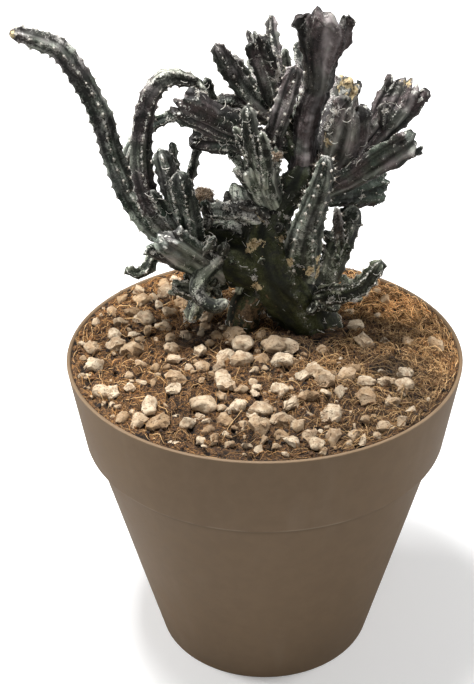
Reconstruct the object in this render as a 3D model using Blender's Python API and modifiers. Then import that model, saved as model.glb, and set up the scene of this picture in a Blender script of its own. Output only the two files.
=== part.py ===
"""A crested cactus, Monvillea spegazzinii, in a 30 cm plastic pot topped with soil and pumice."""

import math
import random

import bmesh
import bpy
import numpy as np
from mathutils import Matrix, Vector, noise
from mathutils.bvhtree import BVHTree

# Every size and place is in millimetres and becomes metres through MM. The origin is the middle of the
# pot's underside, +Z is up and the plant is looked at along +Y.
MM = 0.001
GAP = 0.3
SEAT_GAP = 0.6

# Pot
POT_HEIGHT = 256.0
RIM_RADIUS = 150.0
COLLAR_HEIGHT = 67.6
COLLAR_FOOT_RADIUS = 139.5
BODY_TOP_RADIUS = 134.2
BASE_RADIUS = 86.7
WALL = 3.0
FLOOR_THICKNESS = 4.0
EDGE_ROUNDING = 3.0
ROUND_STEPS = 36
DRAIN_HOLES = 8
DRAIN_RADIUS = 6.0
DRAIN_CIRCLE = 58.0
DRAIN_SIDES = 8

# Soil
SOIL_LEVEL = POT_HEIGHT - 2.0
SOIL_MOUND = 6.0
SOIL_RELIEF = 2.2
SOIL_RELIEF_SIZE = 26.0
SOIL_RINGS = 6

# Pumice: the small stones are part of the soil's crust, the large ones are loose and sit in hollows
SMALL_STONES = 23
SMALL_STONE_SIZE = (8.0, 14.0)
SMALL_STONE_CORNERS = 10
SMALL_STONE_SUNK = 0.15
LARGE_STONE_CORNERS = 14
LARGE_STONE_SUNK = 0.12
LARGE_STONES = (
    (-2, -92, 19), (11, -68, 15), (-44, -85, 22), (-17, -8, 21), (7, -10, 22), (-17, -30, 18),
    (14, -31, 19), (-118, -66, 16), (-81, -88, 18), (101, -58, 15), (73, -55, 15), (-31, -52, 17),
    (-94, 36, 19), (-116, 17, 15), (36, -45, 16), (36, -131, 13),
)

# Stems: rings of points are a pitch apart, and each rib has a tubercle with an areole at every second one
PITCH = 9.2
GROOVE = 1.7
TUBERCLE = 1.3
TIP_SHARE = 0.35

# Spines: a few of the areoles carry one, at its true size
SPINE_EVERY = 12
SPINE_LENGTH = 4.0
SPINE_RADIUS = 0.45
SPINE_ROOT = 1.2
SPINE_CLEARANCE = 1.5

# Faces this close to flat are joined, and edges shorter than the first weld that works are closed up
FLAT_ANGLE = math.radians(4)
WELDS = (0.2, 0.15, 0.1, 0.05, 0.02, 0.01)


def stem(*rows, ribs=4, groove=GROOVE, tubercle=TUBERCLE):
    """A round ribbed stem through rows of x, y, z and girth."""
    rows = [(x, y, z, girth, girth) for x, y, z, girth in rows]
    return {"rows": rows, "points": 2 * ribs, "groove": groove, "tubercle": tubercle, "face": 0.0}


def crest(*rows, face=0.0, points=16, arc=4.0, lobes=1.0, lobe_depth=3.0, wave=2.0):
    """A fan-shaped crested stem through rows of x, y, z, width and thickness.

    Its flat side looks forward, turned by face degrees. The growing edge falls back by arc at its two ends,
    has two notches of lobe_depth for each of its lobes, and is folded to and fro by wave.
    """
    fan = {"rows": rows, "points": points, "groove": GROOVE, "tubercle": TUBERCLE, "face": face}
    return fan | {"arc": arc, "lobes": lobes, "lobe_depth": lobe_depth, "wave": wave}


# A node's strands run from root to tip. A node gives way to the nodes above it in this list, so the limb
# that carries another stands before it.
PLANT = {
    "trunk": (
        stem((36, 35, 214, 40), (36, 35, 240, 42), (32, 35, 259, 45), (26, 36, 278, 51), (15, 37, 297, 56),
             (6, 39, 316, 48), (2, 42, 335, 38), (9, 44, 355, 29), (25, 46, 373, 23), (31, 48, 390, 18),
             ribs=5, groove=1.2, tubercle=0.8),
        stem((15, 44, 358, 20), (32, 46, 372, 19), (49, 48, 376, 16)),
        stem((-18, 26, 246, 22), (-17, 26, 262, 25), (-13, 30, 278, 26), (3, 36, 291, 31), groove=1.0,
             tubercle=0.4),
        stem((54, 28, 246, 22), (45, 32, 264, 26), (30, 36, 280, 31), groove=1.0, tubercle=0.4),
        stem((16, 36, 294, 35), (-11, 36, 307, 40), (-38, 36, 320, 35), (-65, 32, 330, 24), ribs=5),
    ),
    "stem_long_left": (
        stem((-57, 34, 322, 18), (-73, 36, 332, 20), (-89, 38, 346, 20), (-102, 40, 366, 18),
             (-111, 38, 398, 17), (-118, 34, 430, 17), (-129, 28, 459, 16), (-141, 20, 484, 16),
             (-156, 12, 494, 14), (-172, 5, 501, 8), ribs=5),
    ),
    "stem_arched": (
        stem((-52, 28, 329, 17), (-69, 24, 343, 18), (-83, 21, 364, 18), (-88, 18, 389, 16),
             (-88, 16, 418, 16), (-83, 16, 445, 15), (-74, 18, 460, 14), (-63, 22, 463, 13),
             (-48, 30, 456, 10), ribs=5),
    ),
    "stem_thin_left": (
        stem((-68, 40, 328, 12), (-76, 46, 331, 12), (-91, 58, 340, 11), (-102, 68, 357, 11),
             (-104, 72, 378, 11), (-96, 72, 398, 10), (-81, 68, 411, 10), (-63, 62, 421, 8)),
    ),
    "stem_hook": (
        stem((-65, 30, 329, 15), (-82, 22, 324, 11), (-87, 16, 317, 10), (-95, 12, 314, 10),
             (-103, 8, 320, 7)),
    ),
    "crest_low_left": (
        crest((-34, 30, 302, 20, 16), (-50, 16, 321, 26, 16), (-64, 2, 339, 31, 15),
              (-76, -8, 353, 32, 12)),
        stem((-48, 14, 326, 8), (-42, 6, 340, 7), (-36, 0, 350, 5), ribs=3),
    ),
    "clump_left": (
        stem((-55, 26, 330, 18), (-61, 16, 360, 18), (-68, 8, 392, 17), (-74, 2, 417, 13)),
        stem((-59, 28, 342, 10), (-65, 22, 385, 9), (-66, 18, 416, 6), ribs=3),
        stem((-51, 20, 338, 15), (-56, 8, 372, 16), (-61, -2, 402, 12)),
        stem((-63, 20, 346, 10), (-74, 8, 370, 9), (-81, 0, 387, 6), ribs=3),
    ),
    "stem_thin_dark": (
        stem((-51, 44, 320, 12), (-58, 52, 343, 10), (-58, 57, 362, 8), (-54, 60, 381, 8),
             (-49, 62, 399, 6), ribs=3),
    ),
    "tongue_low": (
        stem((-37, 24, 321, 17), (-47, 10, 313, 15), (-50, 0, 305, 12), (-44, -6, 299, 11),
             (-35, -8, 297, 11), (-28, -8, 302, 7), groove=0.6, tubercle=0.2),
    ),
    "stub_low_left": (
        stem((-32, 32, 300, 18), (-39, 30, 297, 19), (-55, 18, 297, 17), (-68, 8, 306, 12)),
        stem((-46, 26, 292, 15), (-53, 16, 282, 14), (-57, 10, 273, 9)),
    ),
    "arm_left": (
        stem((7, 42, 340, 22), (-14, 38, 352, 18), (-30, 34, 355, 16), (-47, 30, 357, 12)),
    ),
    "knob_brown": (
        stem((-39, 34, 353, 10), (-45, 38, 361, 15), (-48, 40, 369, 12), ribs=5, groove=1.0),
    ),
    "knob_grey": (
        stem((-14, 40, 355, 11), (-19, 46, 362, 14), (-21, 50, 369, 11), ribs=5, groove=1.0),
    ),
    "bough_upper": (
        stem((32, 50, 378, 19), (20, 54, 399, 19), (9, 58, 419, 21), (1, 58, 439, 18), ribs=5),
    ),
    "crest_front_fan": (
        crest((7, 40, 355, 18, 16), (-1, 28, 376, 25, 15), (-7, 16, 403, 32, 12)),
        stem((-2, 26, 382, 13), (-8, 12, 415, 13), (-12, 0, 450, 9)),
        stem((-4, 28, 381, 10), (-13, 22, 406, 9), (-22, 16, 429, 6), ribs=3),
        stem((-6, 30, 377, 10), (-16, 24, 394, 9), (-27, 22, 408, 6), ribs=3),
        stem((1, 22, 382, 12), (0, 8, 411, 10), (-2, -4, 433, 7), ribs=3),
    ),
    "stem_dotted_upper": (
        stem((8, 44, 358, 15), (4, 40, 379, 14), (5, 32, 405, 14), (12, 22, 438, 14), (18, 14, 460, 13),
             (22, 8, 476, 10)),
    ),
    "crest_tall": (
        crest((26, 50, 371, 20, 20), (29, 52, 404, 19, 19), (32, 54, 425, 19, 18), (39, 54, 445, 20, 16),
              (40, 52, 464, 26, 14), (42, 48, 485, 37, 12), (43, 42, 504, 42, 10), face=12.0, points=20,
              lobe_depth=6.0, wave=3.5),
    ),
    "crest_woolly": (
        crest((43, 52, 367, 20, 20), (53, 42, 393, 27, 20), (59, 30, 421, 33, 20), (62, 22, 446, 24, 16),
              face=-20.0, wave=3.0),
    ),
    "crest_behind": (
        crest((40, 62, 384, 18, 18), (51, 82, 407, 21, 18), (59, 98, 420, 25, 16), (65, 108, 433, 25, 12),
              face=30.0),
    ),
    "crest_right_upper": (
        crest((40, 46, 370, 16, 16), (62, 46, 389, 16, 15), (80, 48, 409, 21, 14), (96, 50, 432, 31, 12),
              (105, 52, 451, 34, 10), face=-10.0, lobe_depth=5.0),
    ),
    "crest_right_middle": (
        crest((40, 42, 367, 16, 16), (62, 28, 384, 19, 15), (85, 14, 406, 25, 13), (106, 4, 424, 26, 10),
              face=15.0),
    ),
    "crest_right_lower": (
        crest((37, 50, 360, 18, 16), (57, 62, 358, 26, 15), (77, 76, 355, 34, 13), (94, 87, 354, 34, 10),
              face=-25.0, arc=5.0),
    ),
    "stem_dotted_front": (
        stem((25, 33, 300, 34), (29, 22, 334, 31), (35, 10, 366, 21), (41, -2, 397, 15), (43, -8, 416, 9)),
    ),
    "stem_right_inner": (
        stem((41, 36, 278, 22), (52, 44, 307, 21), (61, 52, 329, 21), (69, 60, 347, 17), ribs=5),
    ),
    "stub_dark": (
        stem((57, 42, 318, 9), (54, 24, 347, 9), (52, 16, 366, 6), ribs=3),
    ),
    "branch_low_right": (
        stem((27, 30, 276, 18), (45, 18, 291, 17), (61, 10, 298, 16), (74, 6, 308, 15), (86, 2, 329, 11),
             ribs=5),
    ),
    "stem_upper_left": (
        stem((2, 54, 425, 16), (-13, 42, 444, 14), (-26, 32, 468, 14), (-34, 22, 487, 9)),
    ),
    "stem_upper_left_inner": (
        stem((2, 58, 427, 12), (-12, 62, 447, 9), (-19, 62, 458, 9), (-24, 62, 466, 6), ribs=3),
    ),
    "stem_upper_left_back": (
        stem((5, 62, 429, 12), (-5, 76, 442, 10), (-12, 88, 453, 7), ribs=3),
    ),
    "crest_upper_left": (
        crest((8, 52, 432, 17, 14), (2, 44, 458, 18, 13), (-3, 36, 476, 18, 11), (-7, 30, 490, 15, 9),
              face=20.0, arc=3.0, lobe_depth=2.0, wave=1.0),
    ),
    "stem_upper_warty": (
        stem((13, 62, 422, 13), (10, 76, 443, 11), (7, 88, 461, 10), (5, 96, 473, 9), (5, 100, 483, 6),
             tubercle=1.8),
    ),
    "stem_upper_short": (
        stem((16, 58, 424, 9), (16, 48, 455, 8), (14, 40, 478, 6), ribs=3),
    ),
    "stem_upper_right": (
        stem((28, 60, 410, 12), (28, 84, 441, 10), (25, 98, 456, 9), (24, 102, 462, 6), ribs=3),
    ),
    "crest_dark_upper": (
        crest((14, 52, 403, 13, 13), (-9, 38, 412, 16, 14), (-26, 26, 424, 23, 13), (-45, 14, 439, 27, 12),
              (-62, 5, 452, 25, 9), face=10.0),
    ),
    "crest_dark_lower": (
        crest((13, 56, 395, 13, 13), (-8, 52, 398, 15, 14), (-26, 52, 403, 21, 13), (-42, 54, 403, 22, 12),
              (-58, 56, 405, 14, 9), face=-20.0, arc=3.0),
    ),
    "stub_left_high": (
        stem((4, 54, 425, 14), (-15, 48, 435, 12), (-28, 44, 438, 10), (-39, 40, 436, 9)),
        stem((-36, 41, 431, 9), (-39, 38, 444, 9), (-42, 36, 458, 6), ribs=3),
        stem((2, 58, 418, 12), (-14, 56, 421, 11), (-28, 54, 427, 9), ribs=3),
    ),
    "crest_back": (
        crest((27, 56, 374, 15, 15), (25, 76, 386, 19, 15), (22, 92, 403, 27, 13), (19, 100, 418, 30, 10),
              face=-20.0),
    ),
    "crest_back_low": (
        crest((22, 50, 290, 20, 18), (31, 74, 294, 26, 15), (38, 92, 299, 32, 11), face=-40.0),
    ),
    "stem_back_right": (
        stem((29, 46, 322, 20), (40, 70, 342, 17), (44, 92, 364, 16), (44, 108, 388, 15),
             (42, 118, 412, 11), ribs=5),
    ),
    "stem_back_left": (
        stem((-4, 48, 318, 22), (-18, 58, 326, 26), (-32, 66, 333, 25), (-46, 74, 341, 17), ribs=5),
    ),
}

GREEN = (0.060, 0.072, 0.055)
PURPLE_GREY = (0.095, 0.080, 0.080)
PUMICE = (0.62, 0.50, 0.36)
SOIL_BROWN = (0.22, 0.13, 0.075)
POT_TAUPE = (0.14, 0.10, 0.074)


def clear_scene():
    for item in list(bpy.data.objects):
        bpy.data.objects.remove(item)


def new_collection(name):
    collection = bpy.data.collections.new(name)
    bpy.context.scene.collection.children.link(collection)
    return collection


def material(name, colour, roughness):
    made = bpy.data.materials.new(name)
    made.use_nodes = True
    shader = made.node_tree.nodes["Principled BSDF"]
    shader.inputs["Base Color"].default_value = (*colour, 1.0)
    shader.inputs["Roughness"].default_value = roughness
    shader.inputs["Metallic"].default_value = 0.0
    return made


def object_from(bm, name, collection):
    """Turn a bmesh in millimetres into an object in metres."""
    bmesh.ops.transform(bm, matrix=Matrix.Scale(MM, 4), verts=bm.verts)
    bmesh.ops.triangulate(bm, faces=bm.faces, quad_method="FIXED", ngon_method="EAR_CLIP")
    bmesh.ops.recalc_face_normals(bm, faces=bm.faces)
    mesh = bpy.data.meshes.new(name)
    bm.to_mesh(mesh)
    bm.free()
    made = bpy.data.objects.new(name, mesh)
    collection.objects.link(made)
    return made


def bake(target):
    """Replace an object's mesh with its evaluated one and drop its modifiers."""
    plain = bpy.data.meshes.new_from_object(target.evaluated_get(bpy.context.evaluated_depsgraph_get()))
    target.modifiers.clear()
    target.data = plain


def boolean(target, operation, others):
    """Join others to the target or cut them out of it in one Boolean, then remove them.

    The MANIFOLD solver keeps the many small crossings closed, where EXACT leaves open edges.
    """
    group = new_collection("boolean")
    for other in others:
        group.objects.link(other)
    modifier = target.modifiers.new(operation.title(), "BOOLEAN")
    modifier.operation = operation
    modifier.solver = "MANIFOLD"
    modifier.operand_type = "COLLECTION"
    modifier.collection = group
    bake(target)
    for other in others:
        bpy.data.objects.remove(other)
    bpy.data.collections.remove(group)


def islands(bm):
    """The connected sets of faces in a bmesh, the largest first."""
    left = set(bm.faces)
    found = []
    while left:
        front = [left.pop()]
        island = list(front)
        while front:
            near = {other for edge in front.pop().edges for other in edge.link_faces} & left
            left -= near
            front += near
            island += near
        found.append(island)
    return sorted(found, key=len, reverse=True)


def drop_folded_faces(bm):
    """Remove each pair of faces with the same corners, which a weld leaves of a thin sliver."""
    found = {}
    for face in bm.faces:
        found.setdefault(frozenset(face.verts), []).append(face)
    folded = [face for pair in found.values() if len(pair) == 2 for face in pair]
    bmesh.ops.delete(bm, geom=folded, context="FACES")


def keep_one_body(target, flat_angle=0.0):
    """Join nearly flat faces, weld short edges as far as the body stays closed, and drop loose scraps."""
    for weld in WELDS:
        bm = bmesh.new()
        bm.from_mesh(target.data)
        if flat_angle:
            bmesh.ops.dissolve_limit(bm, angle_limit=flat_angle, verts=bm.verts, edges=bm.edges)
        bmesh.ops.triangulate(bm, faces=bm.faces)
        bmesh.ops.dissolve_degenerate(bm, dist=weld * MM, edges=bm.edges)
        bmesh.ops.triangulate(bm, faces=bm.faces)
        drop_folded_faces(bm)
        for scrap in islands(bm)[1:]:
            bmesh.ops.delete(bm, geom=scrap, context="FACES")
        sound = all(len(edge.link_faces) == 2 for edge in bm.edges)
        if sound:
            bm.to_mesh(target.data)
        bm.free()
        if sound:
            return
    raise RuntimeError(f"{target.name} can't be made one closed body")


def smooth(rows, place):
    """The row at a place from 0 to 1 on a smooth curve through all rows."""
    spans = len(rows) - 1
    index = min(int(place * spans), spans - 1)
    u = place * spans - index
    quad = rows[max(index - 1, 0)], rows[index], rows[index + 1], rows[min(index + 2, spans)]
    a, b, c, d = (np.array(row, dtype=float) for row in quad)
    return b + 0.5 * u * (c - a + u * (2 * a - 5 * b + 4 * c - d + u * (3 * (b - c) + d - a)))


def stations(rows):
    """Rows a pitch apart along a strand and one in its rounded tip, with their directions and places."""
    fine = np.array([smooth(rows, place) for place in np.linspace(0.0, 1.0, 12 * len(rows))])
    steps = np.linalg.norm(np.diff(fine[:, :3], axis=0), axis=1)
    along = np.concatenate(([0.0], np.cumsum(steps)))
    length = along[-1]
    tip = fine[-1, 4] / 2
    count = max(2, round((length - tip) / PITCH)) + 1
    places = np.append(np.linspace(0.0, length - tip, count), length - tip * TIP_SHARE)

    def at(where, columns):
        where = np.clip(where, 0.0, length)
        return np.column_stack([np.interp(where, along, fine[:, column]) for column in range(columns)])

    picked = at(places, 5)
    picked[-1, 3:] -= 2 * tip * (1 - math.sqrt(1 - (1 - TIP_SHARE) ** 2))
    return picked, at(places + 1, 3) - at(places - 1, 3), places / length, Vector(fine[-1, :3])


def rings_of(strand, swell=0.0):
    """The rings of a strand, each a list of place, outward direction and whether an areole sits there.

    A strand that is swollen, to be cut out of its neighbours, has no grooves. Its end point comes with it.
    """
    rows, ways, shares, end = stations(strand["rows"])
    facing = Matrix.Rotation(math.radians(strand["face"]), 3, "Z") @ Vector((0, -1, 0))
    sides = strand["points"]
    rings = []
    for index, (row, way, share) in enumerate(zip(rows, ways, shares)):
        forward = Vector(way).normalized()
        across = forward.cross(facing).normalized()
        out = across.cross(forward)
        half_width = row[3] / 2
        half_depth = row[4] / 2
        ring = []
        for k in range(sides):
            cosine = math.cos(2 * math.pi * k / sides)
            sine = math.sin(2 * math.pi * k / sides)
            point = Vector(row[:3]) + across * half_width * cosine + out * half_depth * sine
            normal = (across * cosine / half_width + out * sine / half_depth).normalized()
            if "arc" in strand:
                turn = math.pi * strand["lobes"] * cosine
                back = strand["arc"] * cosine ** 2 + strand["lobe_depth"] * math.sin(turn) ** 2
                point -= forward * back * share ** 2
                point += out * strand["wave"] * math.sin(turn) * share ** 2
            has_areole = k % 2 == 0 and (index + k // 2) % 2 == 1
            relief = 0.0
            if has_areole:
                relief = strand["tubercle"]
            elif k % 2 and not swell:
                relief = -strand["groove"]
            point += normal * (max(relief, -0.4 * min(half_width, half_depth)) + swell)
            ring.append((point, normal, has_areole))
        rings.append(ring)
    return rings, end + forward * swell


def strand_mesh(strand, swell=0.0):
    """Loft one strand through its rings, closed at the root and the tip."""
    bm = bmesh.new()
    outline, end = rings_of(strand, swell)
    rings = [[bm.verts.new(point) for point, _, _ in ring] for ring in outline]
    sides = strand["points"]
    for ring, following in zip(rings, rings[1:]):
        for k in range(sides):
            after = (k + 1) % sides
            bm.faces.new((ring[k], ring[after], following[after], following[k]))
    bm.faces.new(rings[0])
    last = rings[-1]
    if "arc" in strand:
        for k in range(sides // 2):
            strip = (last[k], last[k + 1], last[sides - k - 1], last[-k])
            bm.faces.new(dict.fromkeys(strip))
    else:
        apex = bm.verts.new(end)
        for k in range(sides):
            bm.faces.new((last[k], last[(k + 1) % sides], apex))
    return bm


def strand_objects(name, collection, swell=0.0):
    """One object for each strand of a plant node, grown by swell all round."""
    return [object_from(strand_mesh(strand, swell), name, collection) for strand in PLANT[name]]


def tree_of(target):
    bm = bmesh.new()
    bm.from_mesh(target.data)
    tree = BVHTree.FromBMesh(bm)
    bm.free()
    return tree


def cut_clear(target, names, collection):
    """Cut the swollen shapes of the named plant nodes out of the target where they reach into it."""
    tree = tree_of(target)
    cutters = []
    for name in names:
        for cutter in strand_objects(name, collection, SEAT_GAP):
            if tree.overlap(tree_of(cutter)):
                cutters.append(cutter)
            else:
                bpy.data.objects.remove(cutter)
    if cutters:
        boolean(target, "DIFFERENCE", cutters)
    keep_one_body(target, FLAT_ANGLE)


def make_plant(parts, scratch, skins):
    """Grow each plant node: fuse its strands, then seat it against the nodes that stand before it."""
    earlier = []
    for name in PLANT:
        strands = strand_objects(name, scratch)
        node = strands[0]
        node.name = name
        if len(strands) > 1:
            boolean(node, "UNION", strands[1:])
        cut_clear(node, earlier, scratch)
        scratch.objects.unlink(node)
        parts.objects.link(node)
        node.data.materials.clear()
        node.data.materials.append(skins["crest" if name.startswith("crest") else "stem"])
        earlier.append(name)


def spine_mesh(root, way):
    """One three-sided needle, its root sunk in the areole."""
    bm = bmesh.new()
    height = SPINE_ROOT + SPINE_LENGTH
    bmesh.ops.create_cone(bm, cap_ends=True, segments=3, radius1=SPINE_RADIUS, radius2=0, depth=height)
    turn = way.to_track_quat("Z", "Y").to_matrix().to_4x4()
    place = Matrix.Translation(root + way * (height / 2 - SPINE_ROOT))
    bmesh.ops.transform(bm, matrix=place @ turn, verts=bm.verts)
    return bm


def add_spines(parts, scratch):
    """Join a spine to every few areoles of each plant node, where nothing else stands close."""
    trees = {item.name: tree_of(item) for item in parts.objects if item.name != "pot"}
    for name, strands in PLANT.items():
        rings = [ring for strand in strands for ring in rings_of(strand)[0][1:]]
        areoles = [spot for ring in rings for spot in ring if spot[2]]
        spines = []
        for root, way, _ in areoles[SPINE_EVERY // 2::SPINE_EVERY]:
            tip = root + way * SPINE_LENGTH
            others = [tree for other, tree in trees.items() if other != name]
            on_skin = trees[name].find_nearest(root * MM)[3] < SPINE_ROOT * MM / 3
            clear = min(tree.find_nearest(tip * MM)[3] for tree in others) > SPINE_CLEARANCE * MM
            blocked = any(tree.ray_cast(root * MM, way, SPINE_LENGTH * MM)[0] for tree in others)
            if on_skin and clear and not blocked:
                spines.append(object_from(spine_mesh(root, way), "spine", scratch))
        if spines:
            boolean(parts.objects[name], "UNION", spines)
            keep_one_body(parts.objects[name])


def turned(name, profile, steps, collection):
    """Turn a profile of x and z about the Z axis with a Screw modifier."""
    mesh = bpy.data.meshes.new(name)
    points = [(x * MM, 0.0, z * MM) for x, z in profile]
    mesh.from_pydata(points, [(i, i + 1) for i in range(len(points) - 1)], [])
    made = bpy.data.objects.new(name, mesh)
    collection.objects.link(made)
    screw = made.modifiers.new("Turn", "SCREW")
    screw.steps = steps
    screw.render_steps = steps
    screw.use_merge_vertices = True
    screw.merge_threshold = 0.0001
    return made


def outer_radius(height):
    """The pot's outer radius at a height on its body, below the collar."""
    return BASE_RADIUS + (BODY_TOP_RADIUS - BASE_RADIUS) * height / (POT_HEIGHT - COLLAR_HEIGHT)


def make_pot(parts, holes, plastic):
    """A thin-walled pot: a tapering body, a wider collar round its top, and drain holes in its floor."""
    step = POT_HEIGHT - COLLAR_HEIGHT
    lip = WALL / 3
    inside = [
        (0, FLOOR_THICKNESS),
        (outer_radius(FLOOR_THICKNESS) - WALL, FLOOR_THICKNESS),
        (BODY_TOP_RADIUS - WALL, step + WALL),
        (COLLAR_FOOT_RADIUS - WALL, step + WALL + EDGE_ROUNDING),
        (RIM_RADIUS - WALL, POT_HEIGHT - lip),
        (RIM_RADIUS - WALL + lip, POT_HEIGHT),
    ]
    outside = [
        (RIM_RADIUS - lip, POT_HEIGHT),
        (RIM_RADIUS, POT_HEIGHT - lip),
        (COLLAR_FOOT_RADIUS, step + lip),
        (COLLAR_FOOT_RADIUS - lip, step),
        (BODY_TOP_RADIUS, step),
        (outer_radius(EDGE_ROUNDING), EDGE_ROUNDING),
        (BASE_RADIUS - EDGE_ROUNDING * 0.3, EDGE_ROUNDING * 0.3),
        (BASE_RADIUS - EDGE_ROUNDING, 0),
        (0, 0),
    ]
    pot = turned("pot", inside + outside, ROUND_STEPS, parts)
    for index in range(DRAIN_HOLES):
        angle = 2 * math.pi * (index + 0.5) / DRAIN_HOLES
        bm = bmesh.new()
        bmesh.ops.create_cone(bm, cap_ends=True, segments=DRAIN_SIDES, radius1=DRAIN_RADIUS,
                              radius2=DRAIN_RADIUS, depth=4 * FLOOR_THICKNESS)
        place = Vector((DRAIN_CIRCLE * math.cos(angle), DRAIN_CIRCLE * math.sin(angle), 0))
        bmesh.ops.translate(bm, vec=place, verts=bm.verts)
        hole = object_from(bm, f"drain_hole_{index + 1}", holes)
        hole.hide_render = True
        hole.display_type = "WIRE"
    cut = pot.modifiers.new("Drain holes", "BOOLEAN")
    cut.operation = "DIFFERENCE"
    cut.operand_type = "COLLECTION"
    cut.collection = holes
    pot.data.materials.append(plastic)


def soil_height(x, y):
    """The soil's surface: a low mound with soft relief that dies out at the wall."""
    reach = min(1.0, math.hypot(x, y) / (RIM_RADIUS - WALL))
    place = Vector((x, y, 0)) / SOIL_RELIEF_SIZE
    relief = SOIL_RELIEF * noise.noise(place) * min(1.0, 5 * (1 - reach))
    return SOIL_LEVEL + SOIL_MOUND * (1 - reach ** 2) + relief


def stone_mesh(x, y, size, sunk, corners, seed, swell=0.0):
    """An irregular lump of pumice: the hull of points on a flattened ball, lying in the soil."""
    draw = random.Random(seed)
    half = Vector((size / 2, size / 2 * draw.uniform(0.66, 0.85), size / 2 * draw.uniform(0.5, 0.68)))
    turn = Matrix.Rotation(draw.uniform(0, math.pi), 3, "Z")
    turn = turn @ Matrix.Rotation(draw.uniform(-0.25, 0.25), 3, "X")
    centre = Vector((x, y, soil_height(x, y) + half.z * (1 - 2 * sunk)))
    bm = bmesh.new()
    for index in range(corners):
        height = 1 - 2 * (index + 0.5) / corners
        angle = index * 2.4 + draw.uniform(-0.3, 0.3)
        ring = math.sqrt(1 - height ** 2)
        point = Vector((ring * math.cos(angle), ring * math.sin(angle), height)) * draw.uniform(0.86, 1.0)
        bm.verts.new(centre + turn @ Vector(share * (reach + swell) for share, reach in zip(point, half)))
    hull = bmesh.ops.convex_hull(bm, input=bm.verts)
    spare = [item for item in hull["geom_interior"] if isinstance(item, bmesh.types.BMVert)]
    bmesh.ops.delete(bm, geom=spare, context="VERTS")
    return bm


def small_stone_places():
    """Seeded places for the small stones, clear of the wall, the trunk, the large stones and each other."""
    draw = random.Random(11)
    trunk_feet = [(36, 35, 30), (-17, 27, 18), (52, 29, 18)]
    taken = [(x, y, size / 2) for x, y, size in LARGE_STONES] + trunk_feet
    places = []
    while len(places) < SMALL_STONES:
        angle = draw.uniform(0, 2 * math.pi)
        reach = (RIM_RADIUS - WALL - SMALL_STONE_SIZE[1]) * math.sqrt(draw.random())
        x = reach * math.cos(angle)
        y = reach * math.sin(angle)
        size = draw.uniform(*SMALL_STONE_SIZE)
        crowded = any(math.dist((x, y), other[:2]) < other[2] + size * 0.6 for other in taken)
        # The right-hand back holds mostly fibre and few stones
        if crowded or draw.random() < 0.5 + (x + y) / 260:
            continue
        taken.append((x, y, size / 2))
        places.append((x, y, size))
    return places


def make_soil(parts, scratch, earth, pumice):
    """The filling of the pot, its crust of small stones, and the loose large stones in their hollows."""
    step = POT_HEIGHT - COLLAR_HEIGHT
    top = [(reach, SOIL_LEVEL) for reach in np.linspace(0, RIM_RADIUS - WALL - 4 * GAP, SOIL_RINGS + 1)]
    side = [
        (COLLAR_FOOT_RADIUS - WALL - 2 * GAP, step + WALL + EDGE_ROUNDING + GAP),
        (BODY_TOP_RADIUS - WALL - 2 * GAP, step + WALL),
        (outer_radius(FLOOR_THICKNESS) - WALL - 2 * GAP, FLOOR_THICKNESS + GAP),
        (0, FLOOR_THICKNESS + GAP),
    ]
    soil = turned("soil", top + side, ROUND_STEPS, parts)
    bake(soil)
    for vertex in soil.data.vertices:
        x, y, z = vertex.co / MM
        if z > SOIL_LEVEL - 1:
            vertex.co.z = soil_height(x, y) * MM
    crust = []
    for seed, (x, y, size) in enumerate(small_stone_places()):
        bm = stone_mesh(x, y, size, SMALL_STONE_SUNK, SMALL_STONE_CORNERS, seed)
        crust.append(object_from(bm, "stone", scratch))
    boolean(soil, "UNION", crust)
    hollows = []
    for index, (x, y, size) in enumerate(LARGE_STONES, start=1):
        shape = (x, y, size, LARGE_STONE_SUNK, LARGE_STONE_CORNERS, 100 + index)
        stone = object_from(stone_mesh(*shape), f"stone_{index:02d}", parts)
        stone.data.materials.append(pumice)
        hollows.append(object_from(stone_mesh(*shape, swell=1.5 * GAP), "hollow", scratch))
    boolean(soil, "DIFFERENCE", hollows + strand_objects("trunk", scratch, SEAT_GAP))
    keep_one_body(soil, FLAT_ANGLE / 2)
    soil.data.materials.clear()
    soil.data.materials.append(earth)


def main():
    clear_scene()
    parts = new_collection("potted_monvillea")
    cutters = new_collection("cutters")
    scratch = new_collection("scratch")
    plastic = material("matt taupe plastic", POT_TAUPE, 0.6)
    earth = material("coir and bark soil", SOIL_BROWN, 0.95)
    pumice = material("cream pumice", PUMICE, 0.9)
    skins = {
        "stem": material("grey-green cactus skin", GREEN, 0.6),
        "crest": material("purple-grey crested skin", PURPLE_GREY, 0.65),
    }
    make_pot(parts, cutters, plastic)
    make_plant(parts, scratch, skins)
    make_soil(parts, scratch, earth, pumice)
    add_spines(parts, scratch)
    bpy.data.collections.remove(scratch)


main()
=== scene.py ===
"""A crested cactus in a plastic pot, dressed on its solid model: skin, areoles, wool, soil, stones and pot.

Sizes in the tables and in the mesh code are in millimetres. The user's settings are in metres.
"""

import math
import random
from itertools import chain

import bmesh
import bpy
import numpy as np
from bpy.props import FloatProperty, FloatVectorProperty, IntProperty, PointerProperty
from bpy.types import Operator, Panel, PropertyGroup
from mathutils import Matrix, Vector, noise


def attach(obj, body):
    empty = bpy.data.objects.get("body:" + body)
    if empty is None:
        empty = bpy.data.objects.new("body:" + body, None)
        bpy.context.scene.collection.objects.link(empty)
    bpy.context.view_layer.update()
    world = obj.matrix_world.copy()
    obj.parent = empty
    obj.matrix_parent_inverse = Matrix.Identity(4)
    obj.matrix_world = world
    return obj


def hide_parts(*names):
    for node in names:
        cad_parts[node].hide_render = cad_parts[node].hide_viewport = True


bl_info = {
    "name": "Potted crested cactus",
    "version": (1, 0, 0),
    "blender": (4, 5, 0),
    "location": "3D View > Sidebar > Cactus",
    "description": "Builds a crested columnar cactus in a round pot of soil and pumice",
    "category": "Object",
}

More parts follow.
